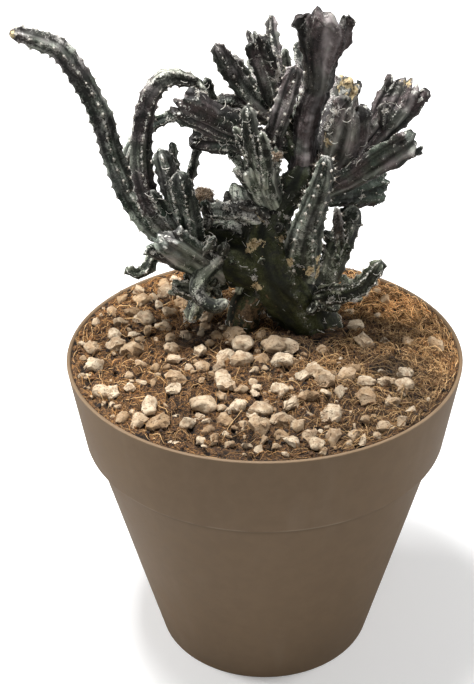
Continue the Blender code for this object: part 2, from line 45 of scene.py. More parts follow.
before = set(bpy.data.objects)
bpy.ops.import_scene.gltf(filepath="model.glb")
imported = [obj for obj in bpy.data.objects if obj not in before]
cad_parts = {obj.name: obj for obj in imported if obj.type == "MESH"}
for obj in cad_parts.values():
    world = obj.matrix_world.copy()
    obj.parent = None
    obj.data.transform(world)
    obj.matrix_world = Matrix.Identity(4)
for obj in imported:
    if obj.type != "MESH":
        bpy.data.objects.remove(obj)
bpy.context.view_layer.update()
MM = 0.001
MERGE = 0.01 * MM
FULL_TURN = 2 * math.pi

# Pot, with the solid model's sizes
POT_HEIGHT = 256.0
RIM_RADIUS = 150.0
COLLAR_HEIGHT = 67.6
COLLAR_FOOT = POT_HEIGHT - COLLAR_HEIGHT
COLLAR_FOOT_RADIUS = 139.5
BODY_TOP_RADIUS = 134.2
BASE_RADIUS = 86.7
WALL = 3.0
FLOOR_THICKNESS = 4.0
DRAIN_HOLES = 8
DRAIN_RADIUS = 6.0
DRAIN_CIRCLE = 58.0
EDGE_ROUNDING = 1.3

# Soil, with the solid model's surface
SOIL_LEVEL = POT_HEIGHT - 2.0
SOIL_MOUND = 6.0
SOIL_RELIEF = 2.2
SOIL_RELIEF_SIZE = 26.0
SOIL_GAP = 0.3
SOIL_EDGE = RIM_RADIUS - WALL - 0.4
SOIL_RINGS = 78
SOIL_STEPS = 310
LARGE_STONES = tuple(f"stone_{index:02d}" for index in range(1, 17))
STONE_SHAPES = 12
HOLLOW_DEPTH = 5.0
# Place and radius of each foot of the trunk
TRUNK_FEET = ((36, 35, 24), (-17, 27, 14), (52, 29, 14))

# Skin: distance between areoles, groove depth, rise of a tubercle, and steps of the mesh
PITCH = 9.2
GROOVE = 1.7
TUBERCLE = 1.3
RING_STEP = 1.6
SKIN_STEP = 1.5
CREST_STEP = 1.15
LOBE_WIDTH = 7.5
CAP_ANGLES = (16, 32, 47, 60, 71, 80)
# Size, seed and height of each layer of lumps on the skin
SKIN_LUMPS = ((14.0, 6, 0.8), (6.0, 0, 0.5), (3.0, 1, 0.45))
THICK_LIMB = 17
BUD_SEED = 500
SPROUT_SEED = 300

# Stage: the picture's frame in pixels, and a camera that fits the pot's ellipses in it
IMAGE_WIDTH = 474
IMAGE_HEIGHT = 684
FOCAL_PIXELS = 1385
MIDDLE_COLUMN = 264.7
SENSOR = 36.0
CAMERA_PLACE = (0.0, -0.9050, 0.7967)
CAMERA_DIP = 30.61
FLOOR_HALF = 12.0
# Name, place, aim, size and power of each lamp
LAMPS = (
    ("left box", (-1.5, 0.3, 1.0), (0.0, 0.0, 0.35), 0.6, 23.0),
    ("right box", (1.5, 0.3, 1.0), (0.0, 0.0, 0.35), 0.9, 18.5),
    ("top box", (-0.25, 0.0, 1.7), (0.0, 0.0, 0.35), 0.35, 38.0),
    ("front fill", (-0.3, -2.2, 0.5), (0.0, 0.0, 0.12), 1.2, 13.5),
)


def stem(*rows, ribs=4, groove=GROOVE, tubercle=TUBERCLE):
    """A round ribbed stem through rows of x, y, z and girth."""
    rows = [(x, y, z, girth, girth) for x, y, z, girth in rows]
    return {"rows": rows, "ribs": ribs, "groove": groove, "tubercle": tubercle, "face": 0.0}


def crest(*rows, face=0.0, ribs=8, arc=4.0, lobes=1.0, lobe_depth=3.0, wave=2.0):
    """A fan-shaped crested stem through rows of x, y, z, width and thickness."""
    fan = {"rows": rows, "ribs": ribs, "groove": GROOVE, "tubercle": TUBERCLE, "face": face}
    return fan | {"arc": arc, "lobes": lobes, "lobe_depth": lobe_depth, "wave": wave}


# The strands of each plant node, as the solid model has them
PLANT = {
    "trunk": (
        stem((36, 35, 214, 40), (36, 35, 240, 42), (32, 35, 259, 45), (26, 36, 278, 51), (15, 37, 297, 56),
             (6, 39, 316, 48), (2, 42, 335, 38), (9, 44, 355, 29), (25, 46, 373, 23), (31, 48, 390, 18),
             ribs=5, groove=1.2, tubercle=0.8),
        stem((15, 44, 358, 20), (32, 46, 372, 19), (49, 48, 376, 16)),
        stem((-18, 26, 246, 22), (-17, 26, 262, 25), (-13, 30, 278, 26), (3, 36, 291, 31), groove=1.0,
             tubercle=0.4),
        stem((54, 28, 246, 22), (45, 32, 264, 26), (30, 36, 280, 31), groove=1.0, tubercle=0.4),
        stem((16, 36, 294, 35), (-11, 36, 307, 40), (-38, 36, 320, 35), (-65, 32, 330, 24), ribs=5),
    ),
    "stem_long_left": (
        stem((-57, 34, 322, 18), (-73, 36, 332, 20), (-89, 38, 346, 20), (-102, 40, 366, 18),
             (-111, 38, 398, 17), (-118, 34, 430, 17), (-129, 28, 459, 16), (-141, 20, 484, 16),
             (-156, 12, 494, 14), (-172, 5, 501, 8), ribs=5),
    ),
    "stem_arched": (
        stem((-52, 28, 329, 17), (-69, 24, 343, 18), (-83, 21, 364, 18), (-88, 18, 389, 16),
             (-88, 16, 418, 16), (-83, 16, 445, 15), (-74, 18, 460, 14), (-63, 22, 463, 13),
             (-48, 30, 456, 10), ribs=5),
    ),
    "stem_thin_left": (
        stem((-68, 40, 328, 12), (-76, 46, 331, 12), (-91, 58, 340, 11), (-102, 68, 357, 11),
             (-104, 72, 378, 11), (-96, 72, 398, 10), (-81, 68, 411, 10), (-63, 62, 421, 8)),
    ),
    "stem_hook": (
        stem((-65, 30, 329, 15), (-82, 22, 324, 11), (-87, 16, 317, 10), (-95, 12, 314, 10),
             (-103, 8, 320, 7)),
    ),
    "crest_low_left": (
        crest((-34, 30, 302, 20, 16), (-50, 16, 321, 26, 16), (-64, 2, 339, 31, 15),
              (-76, -8, 353, 32, 12)),
        stem((-48, 14, 326, 8), (-42, 6, 340, 7), (-36, 0, 350, 5), ribs=3),
    ),
    "clump_left": (
        stem((-55, 26, 330, 18), (-61, 16, 360, 18), (-68, 8, 392, 17), (-74, 2, 417, 13)),
        stem((-59, 28, 342, 10), (-65, 22, 385, 9), (-66, 18, 416, 6), ribs=3),
        stem((-51, 20, 338, 15), (-56, 8, 372, 16), (-61, -2, 402, 12)),
        stem((-63, 20, 346, 10), (-74, 8, 370, 9), (-81, 0, 387, 6), ribs=3),
    ),
    "stem_thin_dark": (
        stem((-51, 44, 320, 12), (-58, 52, 343, 10), (-58, 57, 362, 8), (-54, 60, 381, 8),
             (-49, 62, 399, 6), ribs=3),
    ),
    "tongue_low": (
        stem((-37, 24, 321, 17), (-47, 10, 313, 15), (-50, 0, 305, 12), (-44, -6, 299, 11),
             (-35, -8, 297, 11), (-28, -8, 302, 7), groove=0.6, tubercle=0.2),
    ),
    "stub_low_left": (
        stem((-32, 32, 300, 18), (-39, 30, 297, 19), (-55, 18, 297, 17), (-68, 8, 306, 12)),
        stem((-46, 26, 292, 15), (-53, 16, 282, 14), (-57, 10, 273, 9)),
    ),
    "arm_left": (
        stem((7, 42, 340, 22), (-14, 38, 352, 18), (-30, 34, 355, 16), (-47, 30, 357, 12)),
    ),
    "knob_brown": (
        stem((-39, 34, 353, 10), (-45, 38, 361, 15), (-48, 40, 369, 12), ribs=5, groove=1.0),
    ),
    "knob_grey": (
        stem((-14, 40, 355, 11), (-19, 46, 362, 14), (-21, 50, 369, 11), ribs=5, groove=1.0),
    ),
    "bough_upper": (
        stem((32, 50, 378, 19), (20, 54, 399, 19), (9, 58, 419, 21), (1, 58, 439, 18), ribs=5),
    ),
    "crest_front_fan": (
        crest((7, 40, 355, 18, 16), (-1, 28, 376, 25, 15), (-7, 16, 403, 32, 12)),
        stem((-2, 26, 382, 13), (-8, 12, 415, 13), (-12, 0, 450, 9)),
        stem((-4, 28, 381, 10), (-13, 22, 406, 9), (-22, 16, 429, 6), ribs=3),
        stem((-6, 30, 377, 10), (-16, 24, 394, 9), (-27, 22, 408, 6), ribs=3),
        stem((1, 22, 382, 12), (0, 8, 411, 10), (-2, -4, 433, 7), ribs=3),
    ),
    "stem_dotted_upper": (
        stem((8, 44, 358, 15), (4, 40, 379, 14), (5, 32, 405, 14), (12, 22, 438, 14), (18, 14, 460, 13),
             (22, 8, 476, 10)),
    ),
    "crest_tall": (
        crest((26, 50, 371, 20, 20), (29, 52, 404, 19, 19), (32, 54, 425, 19, 18), (39, 54, 445, 20, 16),
              (40, 52, 464, 26, 14), (42, 48, 485, 37, 12), (43, 42, 504, 42, 10), face=12.0, ribs=10,
              lobe_depth=6.0, wave=3.5),
    ),
    "crest_woolly": (
        crest((43, 52, 367, 20, 20), (53, 42, 393, 27, 20), (59, 30, 421, 33, 20), (62, 22, 446, 24, 16),
              face=-20.0, wave=3.0),
    ),
    "crest_behind": (
        crest((40, 62, 384, 18, 18), (51, 82, 407, 21, 18), (59, 98, 420, 25, 16), (65, 108, 433, 25, 12),
              face=30.0),
    ),
    "crest_right_upper": (
        crest((40, 46, 370, 16, 16), (62, 46, 389, 16, 15), (80, 48, 409, 21, 14), (96, 50, 432, 31, 12),
              (105, 52, 451, 34, 10), face=-10.0, lobe_depth=5.0),
    ),
    "crest_right_middle": (
        crest((40, 42, 367, 16, 16), (62, 28, 384, 19, 15), (85, 14, 406, 25, 13), (106, 4, 424, 26, 10),
              face=15.0),
    ),
    "crest_right_lower": (
        crest((37, 50, 360, 18, 16), (57, 62, 358, 26, 15), (77, 76, 355, 34, 13), (94, 87, 354, 34, 10),
              face=-25.0, arc=5.0),
    ),
    "stem_dotted_front": (
        stem((26, 33, 300, 31), (29, 22, 334, 27), (35, 10, 366, 20), (41, -2, 397, 15), (43, -8, 416, 9),
             ribs=6),
    ),
    "stem_right_inner": (
        stem((41, 36, 278, 22), (52, 44, 307, 21), (61, 52, 329, 21), (69, 60, 347, 17), ribs=5),
    ),
    "stub_dark": (
        stem((57, 42, 318, 9), (54, 24, 347, 9), (52, 16, 366, 6), ribs=3),
    ),
    "branch_low_right": (
        stem((27, 30, 276, 18), (45, 18, 291, 17), (61, 10, 298, 16), (74, 6, 308, 15), (86, 2, 329, 11),
             ribs=5),
    ),
    "stem_upper_left": (
        stem((2, 54, 425, 16), (-13, 42, 444, 14), (-26, 32, 468, 14), (-34, 22, 487, 9)),
    ),
    "stem_upper_left_inner": (
        stem((2, 58, 427, 12), (-12, 62, 447, 9), (-19, 62, 458, 9), (-24, 62, 466, 6), ribs=3),
    ),
    "stem_upper_left_back": (
        stem((5, 62, 429, 12), (-5, 76, 442, 10), (-12, 88, 453, 7), ribs=3),
    ),
    "crest_upper_left": (
        crest((8, 52, 432, 17, 14), (2, 44, 458, 18, 13), (-3, 36, 476, 18, 11), (-7, 30, 490, 15, 9),
              face=20.0, arc=3.0, lobe_depth=2.0, wave=1.0),
    ),
    "stem_upper_warty": (
        stem((13, 62, 422, 13), (10, 76, 443, 11), (7, 88, 461, 10), (5, 96, 473, 9), (5, 100, 483, 6),
             tubercle=1.8),
    ),
    "stem_upper_short": (
        stem((16, 58, 424, 9), (16, 48, 455, 8), (14, 40, 478, 6), ribs=3),
    ),
    "stem_upper_right": (
        stem((28, 60, 410, 12), (28, 84, 441, 10), (25, 98, 456, 9), (24, 102, 462, 6), ribs=3),
    ),
    "crest_dark_upper": (
        crest((14, 52, 403, 13, 13), (-9, 38, 412, 16, 14), (-26, 26, 424, 23, 13), (-45, 14, 439, 27, 12),
              (-62, 5, 452, 25, 9), face=10.0),
    ),
    "crest_dark_lower": (
        crest((13, 56, 395, 13, 13), (-8, 52, 398, 15, 14), (-26, 52, 403, 21, 13), (-42, 54, 403, 22, 12),
              (-58, 56, 405, 14, 9), face=-20.0, arc=3.0),
    ),
    "stub_left_high": (
        stem((4, 54, 425, 14), (-15, 48, 435, 12), (-28, 44, 438, 10), (-39, 40, 436, 9)),
        stem((-36, 41, 431, 9), (-39, 38, 444, 9), (-42, 36, 458, 6), ribs=3),
        stem((2, 58, 418, 12), (-14, 56, 421, 11), (-28, 54, 427, 9), ribs=3),
    ),
    "crest_back": (
        crest((27, 56, 374, 15, 15), (25, 76, 386, 19, 15), (22, 92, 403, 27, 13), (19, 100, 418, 30, 10),
              face=-20.0),
    ),
    "crest_back_low": (
        crest((22, 50, 290, 20, 18), (31, 74, 294, 26, 15), (38, 92, 299, 32, 11), face=-40.0),
    ),
    "stem_back_right": (
        stem((29, 46, 322, 20), (40, 70, 342, 17), (44, 92, 364, 16), (44, 108, 388, 15),
             (42, 118, 412, 11), ribs=5),
    ),
    "stem_back_left": (
        stem((-4, 48, 318, 22), (-18, 58, 326, 26), (-32, 66, 333, 25), (-46, 74, 341, 17), ribs=5),
    ),
}

# How far each node's skin is purple, olive and pale at the ridges, its rib depth, its areoles' size and
# how much waxy bloom it has
TONES = {
    "trunk": (0.05, 0.75, 0.05, 1.0, 0.5, 0.03),
    "stem_long_left": (0.10, 0.10, 0.30, 0.8, 1.0, 0.9),
    "stem_arched": (0.60, 0.15, 0.50, 0.7, 0.9, 0.75),
    "stem_thin_left": (0.25, 0.05, 0.60, 1.0, 0.8, 0.8),
    "stem_hook": (0.30, 0.10, 0.50, 1.0, 0.8, 0.8),
    "crest_low_left": (0.40, 0.00, 0.50, 0.6, 0.3, 0.95),
    "clump_left": (0.15, 0.10, 0.60, 1.0, 0.8, 0.8),
    "stem_thin_dark": (0.60, 0.00, 0.20, 1.0, 0.7, 0.8),
    "tongue_low": (0.55, 0.00, 0.06, 0.3, 0.05, 2.2),
    "stub_low_left": (0.20, 0.10, 0.90, 1.0, 0.8, 1.3),
    "arm_left": (0.30, 0.15, 0.95, 1.0, 0.9, 1.8),
    "knob_brown": (0.90, 0.20, 0.50, 1.0, 0.8, 0.8),
    "knob_grey": (0.20, 0.10, 1.00, 1.0, 0.8, 0.8),
    "bough_upper": (0.20, 0.60, 0.10, 1.0, 0.9, 0.15),
    "crest_front_fan": (0.00, 0.30, 0.90, 0.8, 0.9, 3.0),
    "stem_dotted_upper": (0.55, 0.10, 0.25, 0.6, 1.25, 1.1),
    "crest_tall": (0.85, 0.00, 0.15, 0.6, 0.3, 0.36),
    "crest_woolly": (0.95, 0.10, 0.30, 0.8, 0.3, 0.55),
    "crest_behind": (0.80, 0.10, 0.40, 1.0, 0.7, 0.8),
    "crest_right_upper": (0.70, 0.05, 0.40, 0.5, 0.4, 0.42),
    "crest_right_middle": (0.50, 0.10, 0.30, 1.1, 0.6, 0.22),
    "crest_right_lower": (0.50, 0.05, 0.30, 1.2, 0.7, 0.18),
    "stem_dotted_front": (0.00, 0.20, 0.05, 0.25, 1.4, 0.9),
    "stem_right_inner": (0.25, 0.30, 0.25, 0.8, 1.0, 0.5),
    "stub_dark": (0.50, 0.20, 0.20, 1.0, 0.8, 0.8),
    "branch_low_right": (0.25, 0.25, 0.45, 0.9, 1.1, 0.5),
    "crest_dark_upper": (0.35, 0.00, 0.55, 1.1, 0.6, 0.35),
    "crest_dark_lower": (0.35, 0.00, 0.50, 1.1, 0.6, 0.25),
}
PLAIN_TONE = (0.35, 0.10, 0.45, 0.9, 0.8, 0.8)

# Painted sheen: soft pale bands up the front of a crest, standing in for its highlight: their places from -1
# to 1 across it, and their width
PAINTED_SHEEN_BANDS = {
    "crest_tall": ((0.05, 0.20),),
    "crest_woolly": ((0.35, 0.16), (-0.25, 0.12)),
    "crest_right_upper": ((-0.25, 0.16), (0.45, 0.12)),
    "crest_low_left": ((0.1, 0.16), (-0.5, 0.12), (0.6, 0.12)),
    "crest_right_middle": ((0.2, 0.12),),
}

# Limbs that carry small buds: a node, then its strands with the share of their length to bud between
SPROUT_HOSTS = (
    ("trunk", (0, 0.45, 0.95), (4, 0.25, 0.95), (4, 0.3, 0.9)),
    ("arm_left", (0, 0.25, 0.95)),
    ("stem_back_left", (0, 0.2, 0.95)),
    ("bough_upper", (0, 0.1, 0.9)),
    ("crest_front_fan", (0, 0.0, 0.4)),
    ("stub_low_left", (0, 0.1, 0.8)),
    ("stem_right_inner", (0, 0.2, 0.7)),
    ("branch_low_right", (0, 0.1, 0.6)),
)

# Corky wounds: a strand of the node, the share of its length, the turn round it (0.25 is the front), and
# the wound's radius
WOUNDS = {
    "crest_behind": ((0, 0.96, 0.30, 10.0), (0, 0.84, 0.20, 6.0)),
    "crest_woolly": ((0, 0.58, 0.36, 5.5),),
    "crest_right_upper": ((0, 0.99, 0.25, 4.5),),
    "trunk": ((0, 0.56, 0.42, 5.0), (4, 0.25, 0.30, 5.0), (0, 0.74, 0.36, 5.0), (0, 0.66, 0.15, 4.0),
              (0, 0.64, 0.34, 6.5)),
    "stem_dotted_front": ((0, 0.10, 0.06, 7.0), (0, 0.21, 0.36, 4.5), (0, 0.16, 0.17, 5.0),
                          (0, 0.22, 0.08, 4.0)),
    "stem_arched": ((0, 0.99, 0.25, 3.0),),
    "stem_long_left": ((0, 0.995, 0.25, 3.0),),
    "stub_low_left": ((1, 0.85, 0.30, 3.0),),
}

# Woody bark in the same way
BARK = {
    "trunk": ((2, 0.10, 0.25, 17.0), (2, 0.50, 0.20, 13.0), (0, 0.12, 0.40, 9.0), (3, 0.2, 0.25, 8.0)),
}

# White wool: a strand of the node, the share of its length, the turn round it, and the tuft's size
WOOL = {
    "crest_woolly": ((0, 0.80, 0.36, 5), (0, 0.72, 0.42, 4), (0, 0.90, 0.40, 4), (0, 0.86, 0.44, 4)),
    "crest_upper_left": ((0, 0.45, 0.10, 6), (0, 0.38, 0.20, 4)),
    "bough_upper": ((0, 0.55, 0.25, 4), (0, 0.72, 0.15, 3)),
    "crest_front_fan": ((0, 0.96, 0.42, 3),),
    "crest_tall": ((0, 0.97, 0.05, 3),),
    "trunk": ((4, 0.30, 0.20, 5), (4, 0.65, 0.15, 4), (0, 0.78, 0.20, 4), (0, 0.73, 0.30, 4)),
    "stem_dotted_front": ((0, 0.20, 0.28, 3), (0, 0.13, 0.12, 3)),
    "arm_left": ((0, 0.92, 0.14, 4), (0, 0.70, 0.10, 4), (0, 0.36, 0.10, 5), (0, 0.20, 0.20, 4),
                 (0, 0.55, 0.27, 3)),
    "branch_low_right": ((0, 0.42, 0.25, 3), (0, 0.60, 0.22, 3)),
    "crest_right_lower": ((0, 0.60, 0.22, 3),),
    "stub_low_left": ((0, 0.97, 0.25, 3), (1, 0.95, 0.30, 3)),
    "crest_low_left": ((0, 0.95, 0.42, 3),),
    "crest_dark_upper": ((0, 0.95, 0.40, 3), (0, 0.92, 0.05, 3)),
    "bud_arch": ((0, 0.35, 0.25, 4), (0, 0.75, 0.20, 3)),
    "bud_right": ((0, 0.85, 0.25, 4),),
    "stem_back_left": ((0, 0.98, 0.25, 4),),
    "stem_back_right": ((0, 0.98, 0.25, 4),),
    "crest_back": ((0, 0.95, 0.75, 4), (0, 0.60, 0.70, 3)),
}

# Brown wool in the same way: two old woolly growing points
BROWN_WOOL = {
    "knob_brown": ((0, 0.80, 0.25, 12), (0, 0.80, 0.02, 11), (0, 0.97, 0.25, 10), (0, 0.70, 0.50, 9)),
    "bud_fan": ((0, 0.90, 0.25, 8), (0, 0.80, 0.10, 7), (0, 0.80, 0.42, 7)),
}

# Number of dried threads on each node that has some
THREADS = {
    "trunk": 260, "crest_low_left": 50, "stub_low_left": 45, "clump_left": 70, "arm_left": 60,
    "branch_low_right": 50, "crest_front_fan": 70, "crest_woolly": 50, "crest_behind": 30,
    "crest_dark_upper": 45, "crest_dark_lower": 30, "stem_right_inner": 30, "crest_right_middle": 30,
    "crest_right_upper": 20, "stem_arched": 20, "stub_left_high": 25, "crest_upper_left": 25,
    "stem_back_left": 40, "crest_back": 30, "crest_back_low": 30,
}

# Buds of their own, away from the limbs' seeded ones
BUDS = {
    "bud_arch": stem((-49, 30, 457, 9), (-44, 27, 452, 9), (-41, 25, 444, 8), (-37, 22, 436, 7), ribs=3),
    "bud_right": stem((87, 46, 418, 10), (86, 37, 432, 10), (86, 33, 440, 7), ribs=4),
    "bud_fan": stem((5, 31, 398, 9), (7, 22, 405, 10), (8, 15, 411, 8), ribs=4),
}


def colour_setting(name, description, *shade):
    """A colour that a user may change."""
    return FloatVectorProperty(name=name, description=description, subtype="COLOR", size=3, default=shade)


def length_setting(name, description, metres):
    """A length that a user may change."""
    return FloatProperty(name=name, description=description, default=metres, min=0.0, unit="LENGTH")


def number_setting(name, description, default, least=0):
    """A number of pieces or steps that a user may change."""
    return IntProperty(name=name, description=description, default=default, min=least)


class SkinSettings(PropertyGroup):
    relief: FloatProperty(name="Rib depth", description="Depth of the grooves against the solid model's",
                          default=1.15, min=0.5, max=1.5)
    felt: length_setting("Areole size", "Radius of the felt pad of an areole", 0.00078)
    spine_length: length_setting("Spine length", "Length of the longest spines", 0.0034)
    sprouts: number_setting("Sprouts", "Number of small buds on the trunk and boughs", 84)
    green: colour_setting("Green", "Colour of the green skin", 0.025, 0.040, 0.030)
    purple: colour_setting("Purple", "Colour of the sun-stressed skin", 0.054, 0.038, 0.037)
    olive: colour_setting("Olive", "Colour of the old skin at the base", 0.026, 0.029, 0.010)
    ridge: colour_setting("Ridge", "Colour of the worn rib edges", 0.82, 0.81, 0.73)
    bloom: colour_setting("Bloom", "Colour of the waxy bloom", 0.46, 0.50, 0.44)
    lilac: colour_setting("Lilac bloom", "Colour of the bloom on the crests", 0.50, 0.45, 0.44)
    dusty: colour_setting("Old bloom", "Colour of the bloom on old skin", 0.46, 0.47, 0.32)
    cork: colour_setting("Cork", "Colour of healed wounds", 0.60, 0.48, 0.28)


class PotSettings(PropertyGroup):
    segments: number_setting("Segments", "Steps round the pot", 160, 48)
    plastic: colour_setting("Plastic", "Colour of the matt plastic", 0.186, 0.127, 0.077)


class SoilSettings(PropertyGroup):
    fibres: number_setting("Fibres", "Number of fibres of each kind", 3200)
    crumbs: number_setting("Crumbs", "Number of loose crumbs", 2600)
    small_stones: number_setting("Small stones", "Number of small pumice stones", 280)
    fibre_radius: length_setting("Fibre radius", "Radius of a coir fibre", 0.00024)
    earth: colour_setting("Earth", "Colour of the soil", 0.052, 0.022, 0.007)
    straw: colour_setting("Straw", "Colour of the palest fibres", 0.78, 0.50, 0.23)
    pumice: colour_setting("Pumice", "Colour of the palest pumice", 0.60, 0.49, 0.35)


class StageSettings(PropertyGroup):
    light: FloatProperty(name="Light", description="Strength of the sky round the plant", default=0.15)


SOCKETS = {float: "NodeSocketFloat", int: "NodeSocketInt", bool: "NodeSocketBool", tuple: "NodeSocketColor"}


def add_inputs(tree, inputs):
    """Add named inputs to a node tree: each from its default value, or its kind where it has none."""
    for label, value in inputs.items():
        kind = SOCKETS.get(type(value), value)
        socket = tree.interface.new_socket(label, in_out="INPUT", socket_type=kind)
        if kind != value:
            socket.default_value = (*value, 1.0) if kind == "NodeSocketColor" else value


class Net:
    """A node tree, with short ways to add its nodes and get their outputs."""

    def __init__(self, tree):
        self.tree = tree

    def feed(self, made, inputs):
        """Set or link a node's inputs. A colour is given without its alpha."""
        for key, value in dict(inputs).items():
            socket = made.inputs[key]
            if isinstance(value, bpy.types.NodeSocket):
                self.tree.links.new(value, socket)
            else:
                socket.default_value = (*value, 1.0) if socket.type == "RGBA" else value

    def node(self, kind, inputs=(), **properties):
        """Add a node, set its properties, and feed its inputs."""
        made = self.tree.nodes.new(kind)
        for key, value in properties.items():
            setattr(made, key, value)
        self.feed(made, inputs)
        return made

    def math(self, operation, *values, clamp=False):
        inputs = enumerate(values)
        return self.node("ShaderNodeMath", inputs, operation=operation, use_clamp=clamp).outputs[0]

    def sum(self, *values, clamp=False):
        """Values added up, and clamped to 0 to 1 at the last one if asked."""
        *others, last = values
        first = others[0] if len(others) == 1 else self.sum(*others)
        return self.math("ADD", first, last, clamp=clamp)

    def product(self, *values, clamp=False):
        """Values multiplied, and clamped to 0 to 1 at the last one if asked."""
        *others, last = values
        first = others[0] if len(others) == 1 else self.product(*others)
        return self.math("MULTIPLY", first, last, clamp=clamp)

    def vectors(self, operation, *values, out=0):
        return self.node("ShaderNodeVectorMath", enumerate(values), operation=operation).outputs[out]

    def scaled(self, vector, factor):
        """A vector or a colour times a number."""
        return self.node("ShaderNodeVectorMath", {0: vector, "Scale": factor}, operation="SCALE").outputs[0]

    def xyz(self, x=0.0, y=0.0, z=0.0):
        return self.node("ShaderNodeCombineXYZ", {0: x, 1: y, 2: z}).outputs[0]

    def apart(self, vector):
        """The three parts of a vector."""
        return self.node("ShaderNodeSeparateXYZ", {0: vector}).outputs

    def mix(self, amount, below, above):
        """Lay one colour over another by an amount from 0 to 1."""
        inputs = {"Factor": amount, 6: below, 7: above}
        return self.node("ShaderNodeMix", inputs, data_type="RGBA").outputs[2]

    def ramp(self, value, low, high, start=0.0, end=1.0):
        """Map a value smoothly from one range to another."""
        inputs = {"Value": value, "From Min": low, "From Max": high, "To Min": start, "To Max": end}
        return self.node("ShaderNodeMapRange", inputs, interpolation_type="SMOOTHSTEP").outputs[0]

    def noise(self, vector, scale, detail=3.0, roughness=0.55, out=0):
        inputs = {"Vector": vector, "Scale": scale, "Detail": detail, "Roughness": roughness}
        return self.node("ShaderNodeTexNoise", inputs).outputs[out]

    def attribute(self, name, out="Fac"):
        return self.node("ShaderNodeAttribute", attribute_name=name).outputs[out]

    def group(self, group, inputs):
        """Place a node group and give its outputs."""
        return self.node("ShaderNodeGroup", inputs, node_tree=group).outputs


def shader_group(name, inputs, fill):
    """A shader node group with named inputs, made once by a function that gives its outputs by name."""
    if name not in bpy.data.node_groups:
        net = Net(bpy.data.node_groups.new(name, "ShaderNodeTree"))
        add_inputs(net.tree, inputs)
        results = fill(net, net.node("NodeGroupInput").outputs)
        for label in results:
            kind = "NodeSocketColor" if label == "Color" else "NodeSocketFloat"
            net.tree.interface.new_socket(label, in_out="OUTPUT", socket_type=kind)
        net.node("NodeGroupOutput", results)
    return bpy.data.node_groups[name]


def weathering_group():
    """Blotches, fine specks and streaks laid over a colour, with a height for bump."""
    def fill(net, given):
        vector = given["Vector"]
        scale = given["Scale"]
        broad = net.noise(vector, scale, 3.0, 0.6)
        fine = net.noise(vector, net.product(scale, 7.0), 4.0, 0.65)
        other = net.noise(vector, net.product(scale, 1.7), 4.0, 0.6)
        blotch = net.ramp(net.sum(net.product(broad, 0.65), net.product(fine, 0.35)), 0.46, 0.58)
        dust = net.product(blotch, given["Dust Amount"], clamp=True)
        dusty = net.mix(dust, given["Color"], given["Dust"])
        stained = net.product(net.ramp(other, 0.50, 0.68), given["Stain Amount"], clamp=True)
        colour = net.mix(stained, dusty, given["Stain"])
        colour = net.scaled(colour, net.ramp(fine, 0.32, 0.68, 0.62, 1.38))
        return {"Color": colour, "Mask": dust, "Height": fine}

    return shader_group("weathering", {
        "Vector": "NodeSocketVector", "Color": (0.5, 0.5, 0.5), "Dust": (0.3, 0.3, 0.3), "Dust Amount": 0.3,
        "Stain": (0.02, 0.02, 0.02), "Stain Amount": 0.3, "Scale": 100.0}, fill)


def grain_group():
    """A fine height of pores, lumps and grain for bump."""
    def fill(net, given):
        vector = given["Vector"]
        scale = given["Scale"]
        cells = net.node("ShaderNodeTexVoronoi", {"Vector": vector, "Scale": scale}).outputs["Distance"]
        pore = net.ramp(cells, 0.12, 0.34, 1.0, 0.0)
        fine = net.noise(vector, net.product(scale, 1.6), 3.0, 0.6)
        return {"Height": net.math("SUBTRACT", fine, net.product(pore, given["Pores"])), "Pore": pore}

    return shader_group("grain", {"Vector": "NodeSocketVector", "Scale": 500.0, "Pores": 0.5}, fill)


def damp_and_shade_group():
    """Darken a colour in damp patches, with a painted plant shadow round the trunk's foot and painted shade
    towards the right front, and make it paler towards the back, the right-hand back and the left.
    """
    def fill(net, given):
        place = net.apart(given["Vector"])
        wide = net.vectors("MULTIPLY", given["Vector"], (0.55, 1.0, 0.0))
        foot = net.vectors("DISTANCE", wide, (0.016, 0.002, 0.0), out="Value")
        patch = net.noise(given["Vector"], 22.0, 2.0)
        # Painted shadow of the plant round the trunk's foot, with a ragged edge
        plant_shadow = net.ramp(net.sum(foot, net.ramp(patch, 0.3, 0.7, -0.030, 0.030)), 0.022, 0.066, 0.42, 1.0)
        broad = net.ramp(patch, 0.36, 0.52, 0.80, 1.0)
        back = net.ramp(place[1], 0.02, 0.09, 0.0, 0.36)
        right = net.ramp(net.sum(place[0], place[1]), 0.06, 0.14, 0.0, 0.75)
        left = net.ramp(place[0], -0.12, -0.06, 0.30, 0.0)
        # Painted shade towards the right front
        front = net.ramp(net.math("SUBTRACT", place[0], place[1]), 0.05, 0.16, 0.90, 0.66)
        paler_edges_and_front_shade = net.sum(back, right, left, front)
        return {"Color": net.scaled(given["Color"], net.product(plant_shadow, broad, paler_edges_and_front_shade))}

    return shader_group("damp and shaded soil", {"Vector": "NodeSocketVector", "Color": (0.5, 0.5, 0.5)}, fill)


class Finish(Net):
    """The nodes of a new material, on the piece's own coordinates."""

    def __init__(self, name):
        self.material = bpy.data.materials.new(name)
        self.material.use_nodes = True
        super().__init__(self.material.node_tree)
        self.vector = self.node("ShaderNodeTexCoord").outputs["Object"]

    def weathered(self, colour, dust, dust_amount, stain, stain_amount, scale):
        return self.group(weathering_group(), {
            "Vector": self.vector, "Color": colour, "Dust": dust, "Dust Amount": dust_amount,
            "Stain": stain, "Stain Amount": stain_amount, "Scale": scale})

    # The soil's damp patches, paler edges and painted shade, laid on a colour
    def damped_and_shaded(self, colour):
        return self.group(damp_and_shade_group(), {"Vector": self.vector, "Color": colour})[0]

    def done(self, inputs, bump=None):
        """Feed the shader, with a height, a strength and a distance for bump, and give the material."""
        if bump:
            made = self.node("ShaderNodeBump", zip(("Height", "Strength", "Distance"), bump))
            inputs = inputs | {"Normal": made.outputs[0]}
        self.feed(self.tree.nodes["Principled BSDF"], inputs)
        return self.material


